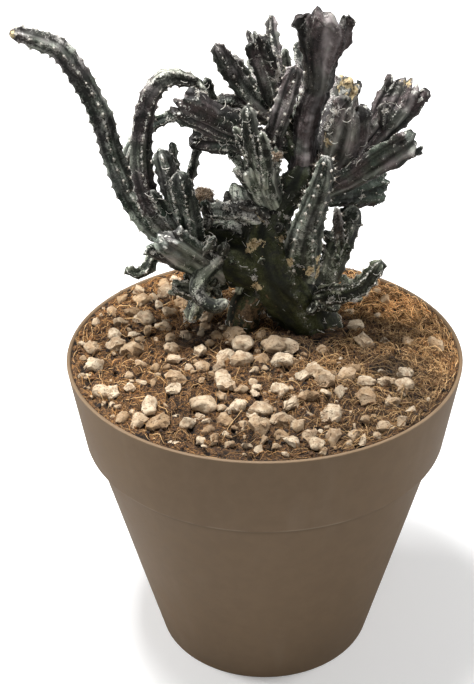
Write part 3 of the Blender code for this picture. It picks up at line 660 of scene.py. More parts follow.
def skin_material(name, settings, scale, dust, streaks, gloss, shades):
    """Waxy ribbed skin: green to purple, olive with age, painted shade in the grooves, pale and worn on the
    ribs.
    """
    net = Finish(name)
    vector = net.vector
    flow = net.attribute("flow", "Vector")
    young = net.attribute("bloom")
    ridge = net.attribute("ridge")
    height = net.apart(vector)[2]
    patch = net.noise(vector, scale * 0.4, 2.0)

    # The skin itself, and the colour of the bloom on it
    purple = net.sum(net.attribute("purple"), net.ramp(height, 0.34, 0.48, -0.15, 0.25),
                     net.ramp(patch, 0.35, 0.65, -0.45, 0.45), clamp=True)
    olive = net.sum(net.attribute("olive"), net.ramp(height, 0.30, 0.36, 0.45, 0.0),
                    net.ramp(patch, 0.3, 0.7, 0.15, -0.15), clamp=True)
    colour = net.mix(olive, net.mix(purple, settings.green, settings.purple), settings.olive)
    bloom = net.mix(olive, net.mix(purple, settings.bloom, settings.lilac), settings.dusty)

    # Bloom in blotches, heavier on upward faces as dust and as painted top light; bloom in streaks along the
    # ribs, partly a painted highlight; and painted sheen in pale bands up the crests
    # Upward faces get more bloom: partly dust, partly painted top light
    upper = net.ramp(net.attribute("upper"), 0.0, 0.9, 0.62, 2.4)
    weather = net.weathered(colour, bloom, net.product(upper, young, dust), (0.012, 0.012, 0.011), 0.8,
                            scale)
    # Streaks of bloom along the flow, partly a painted soft highlight
    run = net.noise(flow, 190.0, 2.0, 0.5)
    streaked = net.product(young, streaks, net.ramp(run, 0.44, 0.74))
    colour = net.mix(streaked, weather["Color"], bloom)
    # Painted sheen: pale bands up a crest's front in place of its highlight
    band = net.product(net.attribute("band"), net.ramp(run, 0.2, 0.7, 0.15, 0.55))
    colour = net.mix(band, colour, bloom)
    colour = net.scaled(colour, net.ramp(net.noise(flow, 75.0, 3.0, 0.6), 0.40, 0.60, *shades))

    # Painted shade in the grooves, and rib edges worn pale in broken lines
    colour = net.mix(net.ramp(ridge, 0.0, 0.50, 0.72, 0.0), colour, (0.006, 0.007, 0.006))
    streak = net.noise(vector, 900.0, 3.0, 0.7)
    broken = net.ramp(net.noise(vector, 170.0, 2.0), 0.36, 0.58, 0.25, 1.0)
    edge = net.sum(ridge, net.ramp(streak, 0.3, 0.7, -0.20, 0.20),
                   net.ramp(net.noise(vector, 330.0, 2.0), 0.3, 0.7, -0.28, 0.16))
    worn = net.product(net.ramp(edge, 0.84, 1.06), net.product(net.attribute("pale"), 1.9), clamp=True)
    colour = net.mix(net.product(worn, broken), colour, settings.ridge)

    # Felt, healed wounds and bark
    colour = net.mix(net.ramp(net.attribute("felt"), 0.45, 0.9, 0.0, 0.6), colour, (0.55, 0.53, 0.48))
    crust = net.noise(vector, 380.0, 4.0, 0.7)
    healed = net.ramp(net.sum(net.attribute("scar"), net.ramp(crust, 0.36, 0.64, -0.40, 0.30)), 0.42, 0.60)
    cork = net.mix(net.ramp(crust, 0.38, 0.60), (0.17, 0.11, 0.05), settings.cork)
    colour = net.mix(healed, colour, cork)
    barked = net.ramp(net.sum(net.attribute("bark"), net.ramp(crust, 0.3, 0.7, -0.4, 0.4)), 0.45, 0.85)
    bark = net.mix(net.ramp(crust, 0.35, 0.65), (0.035, 0.022, 0.012), (0.15, 0.095, 0.050))
    colour = net.mix(barked, colour, bark)

    rough = net.ramp(streak, 0.3, 0.7, 0.60 - gloss * 0.5, 0.82 - gloss * 0.6)
    rough = net.sum(rough, net.product(healed, 0.25), clamp=True)
    bumps = net.sum(net.product(weather["Height"], 0.6), net.product(streak, net.sum(0.4, healed)))
    return net.done({"Base Color": colour, "Roughness": rough, "Specular IOR Level": gloss},
                    (bumps, 0.5, 0.0006))


def fuzz_material(name, colour, shade):
    """Matt felt or wool with a soft grain."""
    net = Finish(name)
    grain = net.noise(net.vector, 700.0, 3.0, 0.7)
    tone = net.mix(net.ramp(grain, 0.35, 0.65), shade, colour)
    return net.done({"Base Color": tone, "Roughness": 0.95, "Sheen Weight": 0.3}, (grain, 0.4, 0.0004))


def spine_material():
    """Grey-brown horn, paler in patches."""
    net = Finish("spine horn")
    grain = net.ramp(net.noise(net.vector, 300.0), 0.4, 0.6)
    colour = net.mix(grain, (0.10, 0.07, 0.05), (0.42, 0.36, 0.28))
    return net.done({"Base Color": colour, "Roughness": 0.5})


def plastic_material(settings):
    """Matt taupe plastic with a thin film of dust, faint runs of dried water and a moulded grain, with
    painted shade under the collar's foot and a painted highlight along its edge.
    """
    net = Finish("matt taupe plastic")
    stretched = net.node("ShaderNodeMapping", {"Vector": net.vector, "Scale": (1.0, 1.0, 0.10)}).outputs[0]
    runs = net.noise(stretched, 40.0, 4.0, 0.55)
    weather = net.weathered(settings.plastic, (0.235, 0.175, 0.115), 0.16, (0.13, 0.085, 0.050), 0.16, 12.0)
    colour = net.mix(0.90, weather["Color"], settings.plastic)
    colour = net.mix(net.ramp(runs, 0.52, 0.78, 0.0, 0.16), colour, (0.26, 0.20, 0.145))
    # Painted shade under the collar's foot, and a painted highlight along its edge
    below = net.math("SUBTRACT", COLLAR_FOOT * MM, net.apart(net.vector)[2])
    collar_shade = net.product(net.ramp(below, 0.0, 0.009, 0.62, 0.0), net.ramp(below, -0.0012, 0.0))
    colour = net.mix(collar_shade, colour, (0.045, 0.030, 0.019))
    collar_edge_highlight = net.product(net.ramp(below, -0.0026, -0.0012), net.ramp(below, -0.0012, -0.0004, 1.0, 0.0),
                       net.ramp(runs, 0.4, 0.6, 0.0, 0.3))
    colour = net.mix(collar_edge_highlight, colour, (0.36, 0.29, 0.21))
    grain = net.group(grain_group(), {"Vector": net.vector, "Scale": 1400.0, "Pores": 0.2})
    return net.done({"Base Color": colour, "Roughness": net.ramp(weather["Mask"], 0.0, 0.3, 0.50, 0.60),
                     "Specular IOR Level": 0.16}, (grain["Height"], 0.10, 0.0002))


def earth_material(settings):
    """Crumbly, fibrous soil of several browns, with painted shade in its hollows."""
    net = Finish("coir and bark soil")
    coarse = net.noise(net.vector, 140.0, 4.0, 0.7)
    fine = net.noise(net.vector, 700.0, 3.0, 0.7)
    colour = net.mix(net.ramp(coarse, 0.38, 0.60), (0.012, 0.005, 0.002), settings.earth)
    colour = net.mix(net.ramp(fine, 0.52, 0.72), colour, (0.20, 0.092, 0.028))
    for scale, tone in ((170.0, (0.30, 0.145, 0.045)), (260.0, (0.17, 0.075, 0.022)),
                        (390.0, (0.38, 0.20, 0.070))):
        level = net.math("SUBTRACT", net.noise(net.vector, scale, 1.0), 0.5)
        colour = net.mix(net.ramp(net.math("ABSOLUTE", level), 0.008, 0.030, 0.75, 0.0), colour, tone)
    # Painted shade: darker the deeper a point lies in a hollow
    colour = net.scaled(colour, net.ramp(net.attribute("deep"), 0.0, 0.4, 0.92, 0.14))
    return net.done({"Base Color": net.damped_and_shaded(colour), "Roughness": 0.95}, (fine, 0.8, 0.0012))


def shaded_material(name, dark, light, scale, contrast=None):
    """Colour from dark to light by each piece's own shade and a grain. Pieces of soil have a contrast, and
    the soil's damp patches and painted shade.
    """
    net = Finish(name)
    grain = net.noise(net.vector, scale, 3.0, 0.65)
    own = net.attribute("shade")
    if contrast:
        own = net.math("POWER", own, contrast)
    colour = net.mix(net.sum(own, net.ramp(grain, 0.3, 0.7, -0.18, 0.18), clamp=True), dark, light)
    if contrast:
        colour = net.damped_and_shaded(colour)
    return net.done({"Base Color": colour, "Roughness": 0.9}, (grain, 0.5, 0.0004))


def pumice_material(settings):
    """Cream to buff pumice: pores, brown dust in patches and a tone of its own for each stone."""
    net = Finish("cream pumice")
    own = net.math("POWER", net.attribute("shade"), 1.25)
    tone = net.sum(own, net.ramp(net.noise(net.vector, 120.0, 2.0), 0.35, 0.65, -0.25, 0.25), clamp=True)
    colour = net.mix(tone, (0.33, 0.22, 0.12), settings.pumice)
    pits = net.group(grain_group(), {"Vector": net.vector, "Scale": 520.0, "Pores": 0.9})
    colour = net.mix(net.product(pits["Pore"], 0.6), colour, (0.16, 0.095, 0.050))
    dust = net.ramp(net.noise(net.vector, 200.0, 4.0, 0.7), 0.46, 0.64, 0.0, 0.70)
    colour = net.mix(dust, colour, (0.25, 0.150, 0.078))
    # Half of the soil's damp patches and painted shade
    colour = net.mix(0.55, colour, net.damped_and_shaded(colour))
    return net.done({"Base Color": colour, "Roughness": 0.92}, (pits["Height"], 0.8, 0.0009))


def shown(name, mesh, slot, *nodes):
    """Put a mesh in the scene as a finished piece, on the body, and hide the nodes it replaces. The slot is
    not used.
    """
    piece = bpy.data.objects.new(name, mesh)
    bpy.context.scene.collection.objects.link(piece)
    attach(piece, "root")
    if nodes:
        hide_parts(*nodes)


def mesh_from(name, points, faces=(), **values):
    """A smooth mesh from points in millimetres, with float values kept for each point."""
    mesh = bpy.data.meshes.new(name)
    mesh.from_pydata(np.asarray(points) * MM, [], faces)
    mesh.shade_smooth()
    for key, column in values.items():
        column = np.asarray(column, dtype=np.float32)
        kind, field = ("FLOAT_VECTOR", "vector") if column.ndim > 1 else ("FLOAT", "value")
        mesh.attributes.new(key, kind, "POINT").data.foreach_set(field, column.ravel())
    return mesh


def tufts_from(name, tufts):
    """A mesh of bare points, from rows of a point, the way it faces and its size."""
    places, facings, sizes = zip(*tufts)
    return mesh_from(name, places, facing=facings, size=sizes)


def mesh_of(bm, name):
    """A new mesh of a bmesh, which is freed."""
    mesh = bpy.data.meshes.new(name)
    bm.to_mesh(mesh)
    bm.free()
    return mesh


def grown(name, mesh, tree, values=()):
    """Run a Geometry Nodes tree on a mesh and return the result as a plain mesh."""
    carrier = bpy.data.objects.new(name, mesh)
    bpy.context.scene.collection.objects.link(carrier)
    modifier = carrier.modifiers.new(name, "NODES")
    modifier.node_group = tree
    sockets = {item.name: item.identifier for item in tree.interface.items_tree if item.in_out == "INPUT"}
    for key, value in dict(values).items():
        modifier[sockets[key]] = value
    carrier.update_tag()
    bpy.context.view_layer.update()
    depsgraph = bpy.context.evaluated_depsgraph_get()
    result = bpy.data.meshes.new_from_object(carrier.evaluated_get(depsgraph), depsgraph=depsgraph)
    result.name = name
    bpy.data.objects.remove(carrier)
    return result


class Growth(Net):
    """A Geometry Nodes tree with named inputs for its sizes."""

    def __init__(self, name, **inputs):
        super().__init__(bpy.data.node_groups.new(name, "GeometryNodeTree"))
        inputs = {label.replace("_", " ").capitalize(): value for label, value in inputs.items()}
        add_inputs(self.tree, {"Geometry": "NodeSocketGeometry"} | inputs)
        self.tree.interface.new_socket("Geometry", in_out="OUTPUT", socket_type="NodeSocketGeometry")
        self.given = self.node("NodeGroupInput").outputs
        self.points = self.given["Geometry"]

    def shape(self, kind, inputs=(), **properties):
        """Add a Geometry Nodes node and get its first output."""
        return self.node(f"GeometryNode{kind}", inputs, **properties).outputs[0]

    def named(self, name, kind="FLOAT"):
        """A value that the points carry."""
        made = self.node("GeometryNodeInputNamedAttribute", {"Name": name}, data_type=kind)
        return made.outputs["Attribute"]

    def kept(self, points, name, value):
        """Points with a value kept on them."""
        inputs = {0: points, "Name": name, "Value": value}
        return self.shape("StoreNamedAttribute", inputs, data_type="FLOAT", domain="POINT")

    def random(self, low, high, seed):
        """A random number for each point or copy."""
        inputs = {2: low, 3: high, "Seed": seed}
        return self.node("FunctionNodeRandomValue", inputs, data_type="FLOAT").outputs[1]

    def towards(self, vector):
        """A rotation that turns the Z axis to a direction."""
        return self.node("FunctionNodeAlignRotationToVector", {"Vector": vector}, axis="Z").outputs[0]

    def spun(self, rotation, *spin):
        """A rotation followed by one about its own axes."""
        inputs = {0: rotation, 1: self.xyz(*spin)}
        return self.node("FunctionNodeRotateRotation", inputs, rotation_space="LOCAL").outputs[0]

    def tousled(self, rotation, lean):
        """A rotation with a random lean, and any turn about its own axis."""
        return self.spun(rotation, self.random(-lean, lean, 2), self.random(-lean, lean, 3),
                         self.random(0.0, FULL_TURN, self.given["Seed"]))

    def copies(self, points, instance, **inputs):
        """Copies of a shape on points, made real."""
        inputs = {label.replace("_", " ").title(): value for label, value in inputs.items()}
        placed = self.shape("InstanceOnPoints", {"Points": points, "Instance": instance} | inputs)
        return self.shape("RealizeInstances", {0: placed})

    def moved(self, geometry, offset):
        return self.shape("SetPosition", {0: geometry, "Offset": offset})

    def bow(self, resolution, start, middle, end):
        """A short bent curve."""
        return self.shape("CurveQuadraticBezier", {
            "Resolution": resolution, "Start": start, "Middle": middle, "End": end})

    def tube(self, curve, radius):
        """A closed three-sided tube along a curve."""
        profile = self.shape("CurvePrimitiveCircle", {"Resolution": 3, "Radius": radius})
        return self.shape("CurveToMesh", {"Curve": curve, "Profile Curve": profile, "Fill Caps": True})

    def coated(self, geometry, material):
        return self.shape("SetMaterial", {0: geometry, "Material": material})

    def joined(self, *shapes):
        whole = self.node("GeometryNodeJoinGeometry")
        for shape in shapes:
            self.tree.links.new(shape, whole.inputs[0])
        return whole.outputs[0]

    def done(self, geometry):
        """End the tree with its result."""
        self.node("NodeGroupOutput", {0: geometry})
        return self.tree


def smooth_rows(rows, count):
    """Rows on a smooth curve through the given ones, evenly spread over their places in the list."""
    rows = np.array(rows, dtype=float)
    spans = len(rows) - 1
    places = np.linspace(0.0, spans, count)
    index = np.minimum(places.astype(int), spans - 1)
    u = (places - index)[:, None]
    a, b, c, d = (rows[np.clip(index + step, 0, spans)] for step in (-1, 0, 1, 2))
    return b + 0.5 * u * (c - a + u * (2 * a - 5 * b + 4 * c - d + u * (3 * (b - c) + d - a)))


def unit(vectors):
    return vectors / np.maximum(np.linalg.norm(vectors, axis=-1, keepdims=True), 1e-9)


def eased(values, low, high):
    """0 below a range, 1 above it, and smooth between."""
    t = np.clip((values - low) / (high - low), 0.0, 1.0)
    return t * t * (3 - 2 * t)


def wobble(points, size, seed):
    """Smooth noise from about -1 to 1 at each point."""
    shift = Vector((seed * 7.31, seed * 3.17, seed * 5.53))
    values = [noise.noise(Vector(point) / size + shift) for point in points.reshape(-1, 3)]
    return np.array(values).reshape(points.shape[:-1])


class Strand:
    """The fine skin of one strand: rings of points, their normals, and values for the materials."""

    def __init__(self, form, seed, relief, dots, fineness=1.0):
        self.form = form
        self.seed = seed
        self.relief = relief
        self.is_crest = "arc" in form
        self.draw = np.random.default_rng(seed)
        self.lay_rings(fineness)
        height, ridge = self.folds() if self.is_crest else self.grooves()
        height = height + self.lumps()
        self.areoles = self.crest_areoles(dots) if self.is_crest else self.stem_areoles(dots)
        height, felt = self.raise_areoles(height)
        self.points = self.points + self.normals * height[:, :, None]
        round_it = self.half[:, :1] * np.stack((self.cosine, self.sine))[:, None, :]
        along = 0.12 * self.places[:, None] + 50.0 * (seed % 7) + np.zeros_like(height)
        # upper: how far each point faces up, read for the bloom and painted top light on the skin
        self.values = {
            "ridge": ridge, "felt": felt, "upper": np.clip(self.normals[:, :, 2], 0, 1),
            "flow": np.stack((*round_it, along), axis=2) * MM, "normal": self.normals,
            "place": self.cosine - 4.0 * (self.sine < 0) + np.zeros_like(height)}

    def lay_rings(self, fineness):
        """Plain rings of points along the strand, closer together round its tip."""
        fine = smooth_rows(self.form["rows"], 16 * len(self.form["rows"]))
        along = np.concatenate(([0.0], np.cumsum(np.linalg.norm(np.diff(fine[:, :3], axis=0), axis=1))))
        self.end = fine[-1, :3]
        self.length = along[-1]
        self.tip = fine[-1, 4] / 2
        step = (CREST_STEP if self.is_crest else RING_STEP) / fineness
        body = self.length - self.tip
        count = max(4, round(body / step)) + 1
        angles = np.radians(CAP_ANGLES)
        cap = self.length - self.tip * (1 - np.sin(angles))
        self.places = np.concatenate((np.linspace(0.0, body, count), cap))
        loss = np.concatenate((np.zeros(count), 2 * self.tip * (1 - np.cos(angles))))

        def at(where, columns):
            where = np.clip(where, 0.0, self.length)
            return np.column_stack([np.interp(where, along, fine[:, column]) for column in range(columns)])

        rows = at(self.places, 5)
        rows[:, 3:] -= loss[:, None]
        self.half = rows[:, 3:] / 2
        self.least = np.min(self.half, axis=1)[:, None]
        self.share = (self.places / self.length)[:, None]
        self.drift = 0.03 * np.sin(self.places / 16 + self.seed)
        girth = math.pi * np.max(rows[:, 3] + rows[:, 4]) / 2
        quarter_ribs = 4 * self.form["ribs"]
        self.sides = quarter_ribs * max(2, round(girth / (quarter_ribs * min(step, SKIN_STEP / fineness))))
        self.turns = np.arange(self.sides) / self.sides
        self.cosine = np.cos(FULL_TURN * self.turns)
        self.sine = np.sin(FULL_TURN * self.turns)

        forward = unit(at(self.places + 1, 3) - at(self.places - 1, 3))
        face = math.radians(self.form["face"])
        across = unit(np.cross(forward, (math.sin(face), -math.cos(face), 0.0)))
        side = across[:, None, :]
        self.front = np.cross(across, forward)[:, None, :]
        self.ahead = forward[:, None, :]
        wide, deep = self.half.T[:, :, None, None]
        cosine = self.cosine[:, None]
        sine = self.sine[:, None]
        self.points = rows[:, None, :3] + side * wide * cosine + self.front * deep * sine
        self.normals = unit(side * cosine / wide + self.front * sine / deep)
        if self.is_crest:
            turn = math.pi * self.form["lobes"] * cosine
            back = self.form["arc"] * cosine ** 2 + self.form["lobe_depth"] * np.sin(turn) ** 2
            bend = self.front * self.form["wave"] * np.sin(turn) - self.ahead * back
            self.points = self.points + bend * self.share[:, :, None] ** 2

    def grooves(self):
        """The height of a stem's skin, and a value from 0 in each groove to 1 on each rib's edge."""
        ribs = self.form["ribs"]
        ridge = np.abs(1 - 2 * ((self.turns + self.drift[:, None]) * ribs % 1.0))
        depths = self.draw.uniform(0.75, 1.2, ribs)[np.floor(self.turns * ribs).astype(int) % ribs]
        depth = np.minimum(self.form["groove"] * self.relief, 0.42 * self.least) * depths
        return -depth * (1 - ridge) ** 0.75, ridge

    def folds(self):
        """The height and the ridges of a crest's skin, whose growing edge is ruffled here."""
        share = self.share
        lobes = max(3, round(2 * np.max(self.half[:, 0]) / LOBE_WIDTH))
        warp = 0.16 * np.sin(2.6 * self.cosine + self.seed) * (1 - self.cosine ** 2)
        phase = 0.5 + lobes * (self.cosine + warp + 1) / 2
        self.tops = np.arange(lobes + 1) / lobes * 2 - 1
        wave = np.abs(np.sin(math.pi * phase))
        depths = self.draw.uniform(0.0, 1.0, lobes + 2)[np.round(phase).astype(int)] ** 2
        growth = self.draw.uniform(3.0, 8.5, lobes + 2)[np.floor(phase).astype(int)]
        cut = eased(share, 0.55, 0.95)
        depth = np.minimum(2.4 * self.form["groove"] * self.relief, 0.55 * self.least)
        depth = depth * (depths * (0.35 + 0.65 * eased(share, 0.1, 0.6)) * (1 - cut)
                         + cut * np.maximum(depths, 0.55))
        knobs = np.abs(wobble(self.points, 4.0, self.seed + 2))
        height = (-depth * (1 - wave) ** 1.6 + wobble(self.points, 13.0, self.seed + 3) * 2.2 * share
                  + eased(share, 0.80, 0.96) * (3.6 * knobs - 0.5))
        rise = growth * wave ** 0.8 - 3.6 + wobble(self.points, 5.2, self.seed + 4) * 2.4
        rise = rise * eased(share, 0.70, 0.94)
        ruffle = 2.0 * np.sin(math.pi * phase + self.seed) * share ** 3
        self.points = self.points + self.ahead * rise[:, :, None] + self.front * ruffle[:, :, None]
        tips = eased(share, 0.84, 0.96)
        deep = np.minimum(1.0, depths * 1.4)
        crown = 0.5 * np.minimum(1.0, wave / 0.4) + 0.5 * wave ** 8
        ridge = crown * deep + 0.55 * (1 - deep)
        return height, ridge * (1 - tips) + tips * np.clip(0.2 + 2.2 * knobs, 0, 1)

    def lumps(self):
        """Swellings and fine lumps of the whole skin, coarser on a thick limb."""
        coarse = 0.6 if self.is_crest else min(1.0, 0.3 + self.form["tubercle"])
        if np.max(self.half) > THICK_LIMB:
            coarse = 2.4
        layers = [wobble(self.points, size, self.seed + shift) * rise for size, shift, rise in SKIN_LUMPS]
        return coarse * sum(layers)

    def stem_areoles(self, dots):
        """Places of a stem's areoles: a point round the ring, a distance along, and a relative size."""
        found = []
        ribs = self.form["ribs"]
        for number in range(ribs):
            start = PITCH * (0.25 + 0.5 * (number % 2))
            for where in np.arange(start, self.length - 0.35 * self.tip, PITCH):
                turn = number / ribs - np.interp(where, self.places, self.drift)
                size = dots * (0.8 + 0.1 * ((number * 7 + int(where) * 3) % 5))
                found.append((round(turn * self.sides) % self.sides, where, size))
        return found

    def crest_areoles(self, dots):
        """Places of a crest's areoles: rows down its lobes, close together at the growing edge."""
        found = []
        for number, top in enumerate(self.tops):
            turn = math.acos(top) / FULL_TURN
            on_edge = abs(top) > 0.99
            start = PITCH * (0.3 + 0.5 * (number % 2)) + (0.0 if on_edge else 0.55 * self.length)
            row = np.arange(start, 0.9 * self.length, PITCH * 1.15)
            for way in ((turn,) if on_edge else (turn, 1 - turn)):
                for where in (*row, 0.93 * self.length, 0.965 * self.length):
                    size = dots * (1.0 if on_edge else 0.7)
                    size *= 0.8 + 0.1 * ((number * 3 + int(where) * 5) % 5)
                    found.append((round(way * self.sides) % self.sides, where, size))
        return found

    def raise_areoles(self, height):
        """The skin's height with a low cone under each areole, and the felt on each point."""
        felt = np.zeros_like(height)
        perimeter = (FULL_TURN * np.sqrt((self.half ** 2).sum(axis=1) / 2))[:, None]
        for index, where, size in self.areoles:
            away = np.abs((self.turns - index / self.sides + 0.5) % 1.0 - 0.5) * perimeter
            reach = (self.places - where)[:, None] ** 2 + away ** 2
            height = height + self.form["tubercle"] * 0.9 * np.exp(-reach / 3.4)
            felt = np.maximum(felt, size * np.exp(-reach / 1.1))
        return height, felt

    def spot(self, share, turn):
        """The point of the skin and its normal at a share of the length and a turn round it."""
        ring = int(np.argmin(np.abs(self.share - share)))
        index = round(turn * self.sides) % self.sides
        return self.points[ring, index], self.normals[ring, index]

    def flat(self):
        """Points, faces and values of the closed skin, with its root and tip closed."""
        rings, sides = self.points.shape[:2]
        root = rings * sides
        last = root - sides
        k = np.arange(sides)
        after = (k + 1) % sides
        ends = [self.points[0].mean(axis=0)]
        faces = []
        for low in range(0, last, sides):
            high = low + sides
            faces += np.column_stack((low + k, low + after, high + after, high + k)).tolist()
        faces += np.column_stack((np.full(sides, root), after, k)).tolist()
        if self.is_crest:
            for place in range(sides // 2):
                strip = (place, place + 1, sides - place - 1, (sides - place) % sides)
                faces.append([last + corner for corner in dict.fromkeys(strip)])
        else:
            ends.append(self.end)
            faces += np.column_stack((last + k, last + after, np.full(sides, root + 1))).tolist()
        values = {}
        for key, column in self.values.items():
            column = column.reshape(root, *column.shape[2:])
            values[key] = np.concatenate((column, column[-1:].repeat(len(ends), axis=0)))
        return np.vstack((self.points.reshape(-1, 3), *ends)), faces, values


STRANDS = {}


def strands_of(context):
    """The fine skins of all plant nodes and of the buds with rows of their own, made once per rib depth."""
    relief = context.scene.cactus_skin.relief
    if relief not in STRANDS:
        STRANDS.clear()
        skins = STRANDS[relief] = {}
        seed = 1
        for name, forms in PLANT.items():
            tone = TONES.get(name, PLAIN_TONE)
            fineness = 0.8 if name == "trunk" else 1.0
            skins[name] = []
            for form in forms:
                skins[name].append(Strand(form, seed, relief * tone[3], tone[4], fineness))
                seed += 7
        for number, (name, bud) in enumerate(BUDS.items()):
            skins[name] = [Strand(bud, BUD_SEED + number, relief, 0.8)]
    return STRANDS[relief]


def limbs_of(context):
    """Each plant node with its skins."""
    return {name: skins for name, skins in strands_of(context).items() if name in PLANT}


def spotted(points, strands, spots):
    """1 near the given spots of the strands' skins and 0 away from them, with a ragged edge."""
    mask = np.zeros(len(points))
    for number, share, turn, radius in spots:
        away = np.linalg.norm(points - strands[number].spot(share, turn)[0], axis=1)
        near = away < 2 * radius
        ragged = 0.8 * wobble(points[near], 4.0, number) + 0.5 * wobble(points[near], 1.9, number + 3)
        away[near] *= 1 + ragged
        mask = np.maximum(mask, 1 - eased(away, 0.2 * radius, 1.3 * radius))
    return mask


def skin_mesh(name, strands, tone):
    """One mesh of several strands' skins, with the tone, bloom, wounds and painted sheen bands kept at its
    points.
    """
    parts = [strand.flat() for strand in strands]
    points = np.vstack([part[0] for part in parts])
    values = {key: np.concatenate([part[2][key] for part in parts]) for key in parts[0][2]}
    faces = []
    first = 0
    for some, corners, _ in parts:
        faces += [[first + corner for corner in face] for face in corners]
        first += len(some)
    normals = values.pop("normal")
    place = values.pop("place")
    scar = spotted(points, strands, WOUNDS.get(name, ()))
    crusted = scar > 0.05
    if crusted.any():
        crust = 2.2 * np.abs(wobble(points[crusted], 2.4, 5)) - 0.4
        points[crusted] += normals[crusted] * (scar[crusted] * crust)[:, None]
    band = np.zeros(len(points))
    for middle, width in PAINTED_SHEEN_BANDS.get(name, ()):
        band = np.maximum(band, np.exp(-((place - middle) / width) ** 2))
    purple, olive, pale, _, _, bloom = (np.full(len(points), value) for value in tone)
    bark = spotted(points, strands, BARK.get(name, ()))
    return mesh_from(name, points, faces, **values, scar=scar, bark=bark, band=band, purple=purple,
                     olive=olive, pale=pale, bloom=bloom)


class CACTUS_OT_skin(Operator):
    """Cover each stem and crest with its ribbed skin"""
    bl_idname = "cactus.make_skin"
    bl_label = "Make stems and crests"

    def execute(self, context):
        settings = context.scene.cactus_skin
        materials = {
            "cactus_skin": skin_material("grey-green ribbed skin", settings, 110.0, 0.80, 0.44, 0.20,
                                         (0.36, 1.36)),
            "crest_skin": skin_material("purple-grey crested skin", settings, 120.0, 0.34, 0.36, 0.28,
                                        (0.22, 1.26)),
        }
        for name, strands in limbs_of(context).items():
            mesh = skin_mesh(name, strands, TONES.get(name, PLAIN_TONE))
            slot = "crest_skin" if name.startswith("crest") else "cactus_skin"
            mesh.materials.append(materials[slot])
            shown(f"skin_{name}", mesh, slot, name)
        return {"FINISHED"}


class CACTUS_OT_sprouts(Operator):
    """Grow small buds on the trunk and the boughs"""
    bl_idname = "cactus.make_sprouts"
    bl_label = "Make sprouts"

    def execute(self, context):
        draw = random.Random(17)
        strands = strands_of(context)
        hosts = [(name, *rule) for name, *rules in SPROUT_HOSTS for rule in rules]
        buds = []
        for index in range(context.scene.cactus_skin.sprouts):
            name, number, low, high = hosts[index % len(hosts)]
            point, normal = strands[name][number].spot(draw.uniform(low, high), draw.random())
            lean = np.array((draw.uniform(-0.3, 0.3), draw.uniform(-0.3, 0.3), draw.uniform(0.2, 0.9)))
            way = unit(normal + lean)
            girth = draw.uniform(5.0, 10.0)
            length = girth * draw.uniform(0.8, 1.9)
            root = point - normal * 3
            middle = root + (normal * 0.4 + way * 0.6) * length * 0.5
            end = root + way * length + normal * 1.5
            bud = stem((*root, girth * 0.8), (*middle, girth), (*end, girth * 0.6), ribs=3 + index % 3,
                       groove=0.6, tubercle=0.9)
            buds.append(Strand(bud, SPROUT_SEED + index, 1.0, 0.8, 0.78))
        buds += [strands[name][0] for name in BUDS]
        mesh = skin_mesh("sprouts", buds, (0.35, 0.25, 0.45, 1.0, 0.8, 0.7))
        mesh.materials.append(bpy.data.materials["grey-green ribbed skin"])
        shown("sprouts", mesh, "cactus_skin")
        return {"FINISHED"}


def rib_places(strand, draw):
    """Places along a strand's rib edges: a share of its length, a turn round it, and a size."""
    if strand.is_crest:
        turns = [math.acos(top) / FULL_TURN for top in strand.tops]
        lines = [(turn, 0.1 if turn in (turns[0], turns[-1]) else 0.90) for turn in turns]
        lines += [(1 - turn, 0.90) for turn in turns[1:-1]]
    else:
        lines = [(number / strand.form["ribs"], 0.04) for number in range(strand.form["ribs"])]
    for turn, first in lines:
        where = first * strand.length
        while where < 0.99 * strand.length:
            where += draw.uniform(1.0, 4.2)
            drift = 0.0 if strand.is_crest else np.interp(where, strand.places, strand.drift)
            way = turn - drift + draw.gauss(0, 0.006)
            yield min(1.0, where / strand.length), way, draw.uniform(0.5, 1.35)


class CACTUS_OT_flecks(Operator):
    """Fleck the rib edges with old felt and cork"""
    bl_idname = "cactus.make_flecks"
    bl_label = "Make felt flecks"

    def execute(self, context):
        draw = random.Random(12)
        places, sizes = [], []
        for name, strands in limbs_of(context).items():
            pale = TONES.get(name, PLAIN_TONE)[2]
            if pale < 0.12:
                continue
            for strand in strands:
                for share, turn, size in rib_places(strand, draw):
                    if draw.random() < 0.25 + 0.50 * pale:
                        places.append(strand.spot(share, turn)[0])
                        sizes.append(size * (0.65 + 0.35 * pale))
        mesh = grown("felt_flecks", mesh_from("felt_flecks", places, size=sizes), rubble_tree("flecks"), {
            "Material": shaded_material("old felt", (0.20, 0.18, 0.15), (0.86, 0.84, 0.78), 600.0),
            "Roughness": 0.9, "Dent size": 0.0010, "Flatness": 0.9, "Seed": 6})
        shown("felt_flecks", mesh, "cactus_skin")
        return {"FINISHED"}


def areole_tree(felt, horn):
    """Felt pads with a bunch of spines on points that have a facing and a size."""
    net = Growth("areoles", felt_radius=0.0007, spine_length=0.004, spine_radius=0.00013, spines=4, seed=4)
    rotation = net.spun(net.towards(net.named("facing", "FLOAT_VECTOR")), 0.0, 0.0,
                        net.random(0.0, FULL_TURN, net.given["Seed"]))
    pad = net.shape("MeshIcoSphere", {"Radius": net.given["Felt radius"], "Subdivisions": 1})
    pad = net.coated(net.shape("Transform", {0: pad, "Scale": (1.0, 1.0, 0.75)}), felt)
    cone = net.shape("MeshCone", {
        "Vertices": 3, "Radius Top": 0.0, "Radius Bottom": net.given["Spine radius"],
        "Depth": net.given["Spine length"]})
    ring = net.shape("MeshCircle", {"Vertices": net.given["Spines"], "Radius": 0.0003})
    lean = net.vectors("ADD", net.scaled(net.shape("InputPosition"), 2600.0), (0.15, 0.1, 0.75))
    bunch = net.copies(ring, cone, rotation=net.towards(lean), scale=net.random(0.35, 1.0, 3))
    whole = net.joined(pad, net.coated(bunch, horn))
    return net.done(net.copies(net.points, whole, rotation=rotation, scale=net.named("size")))


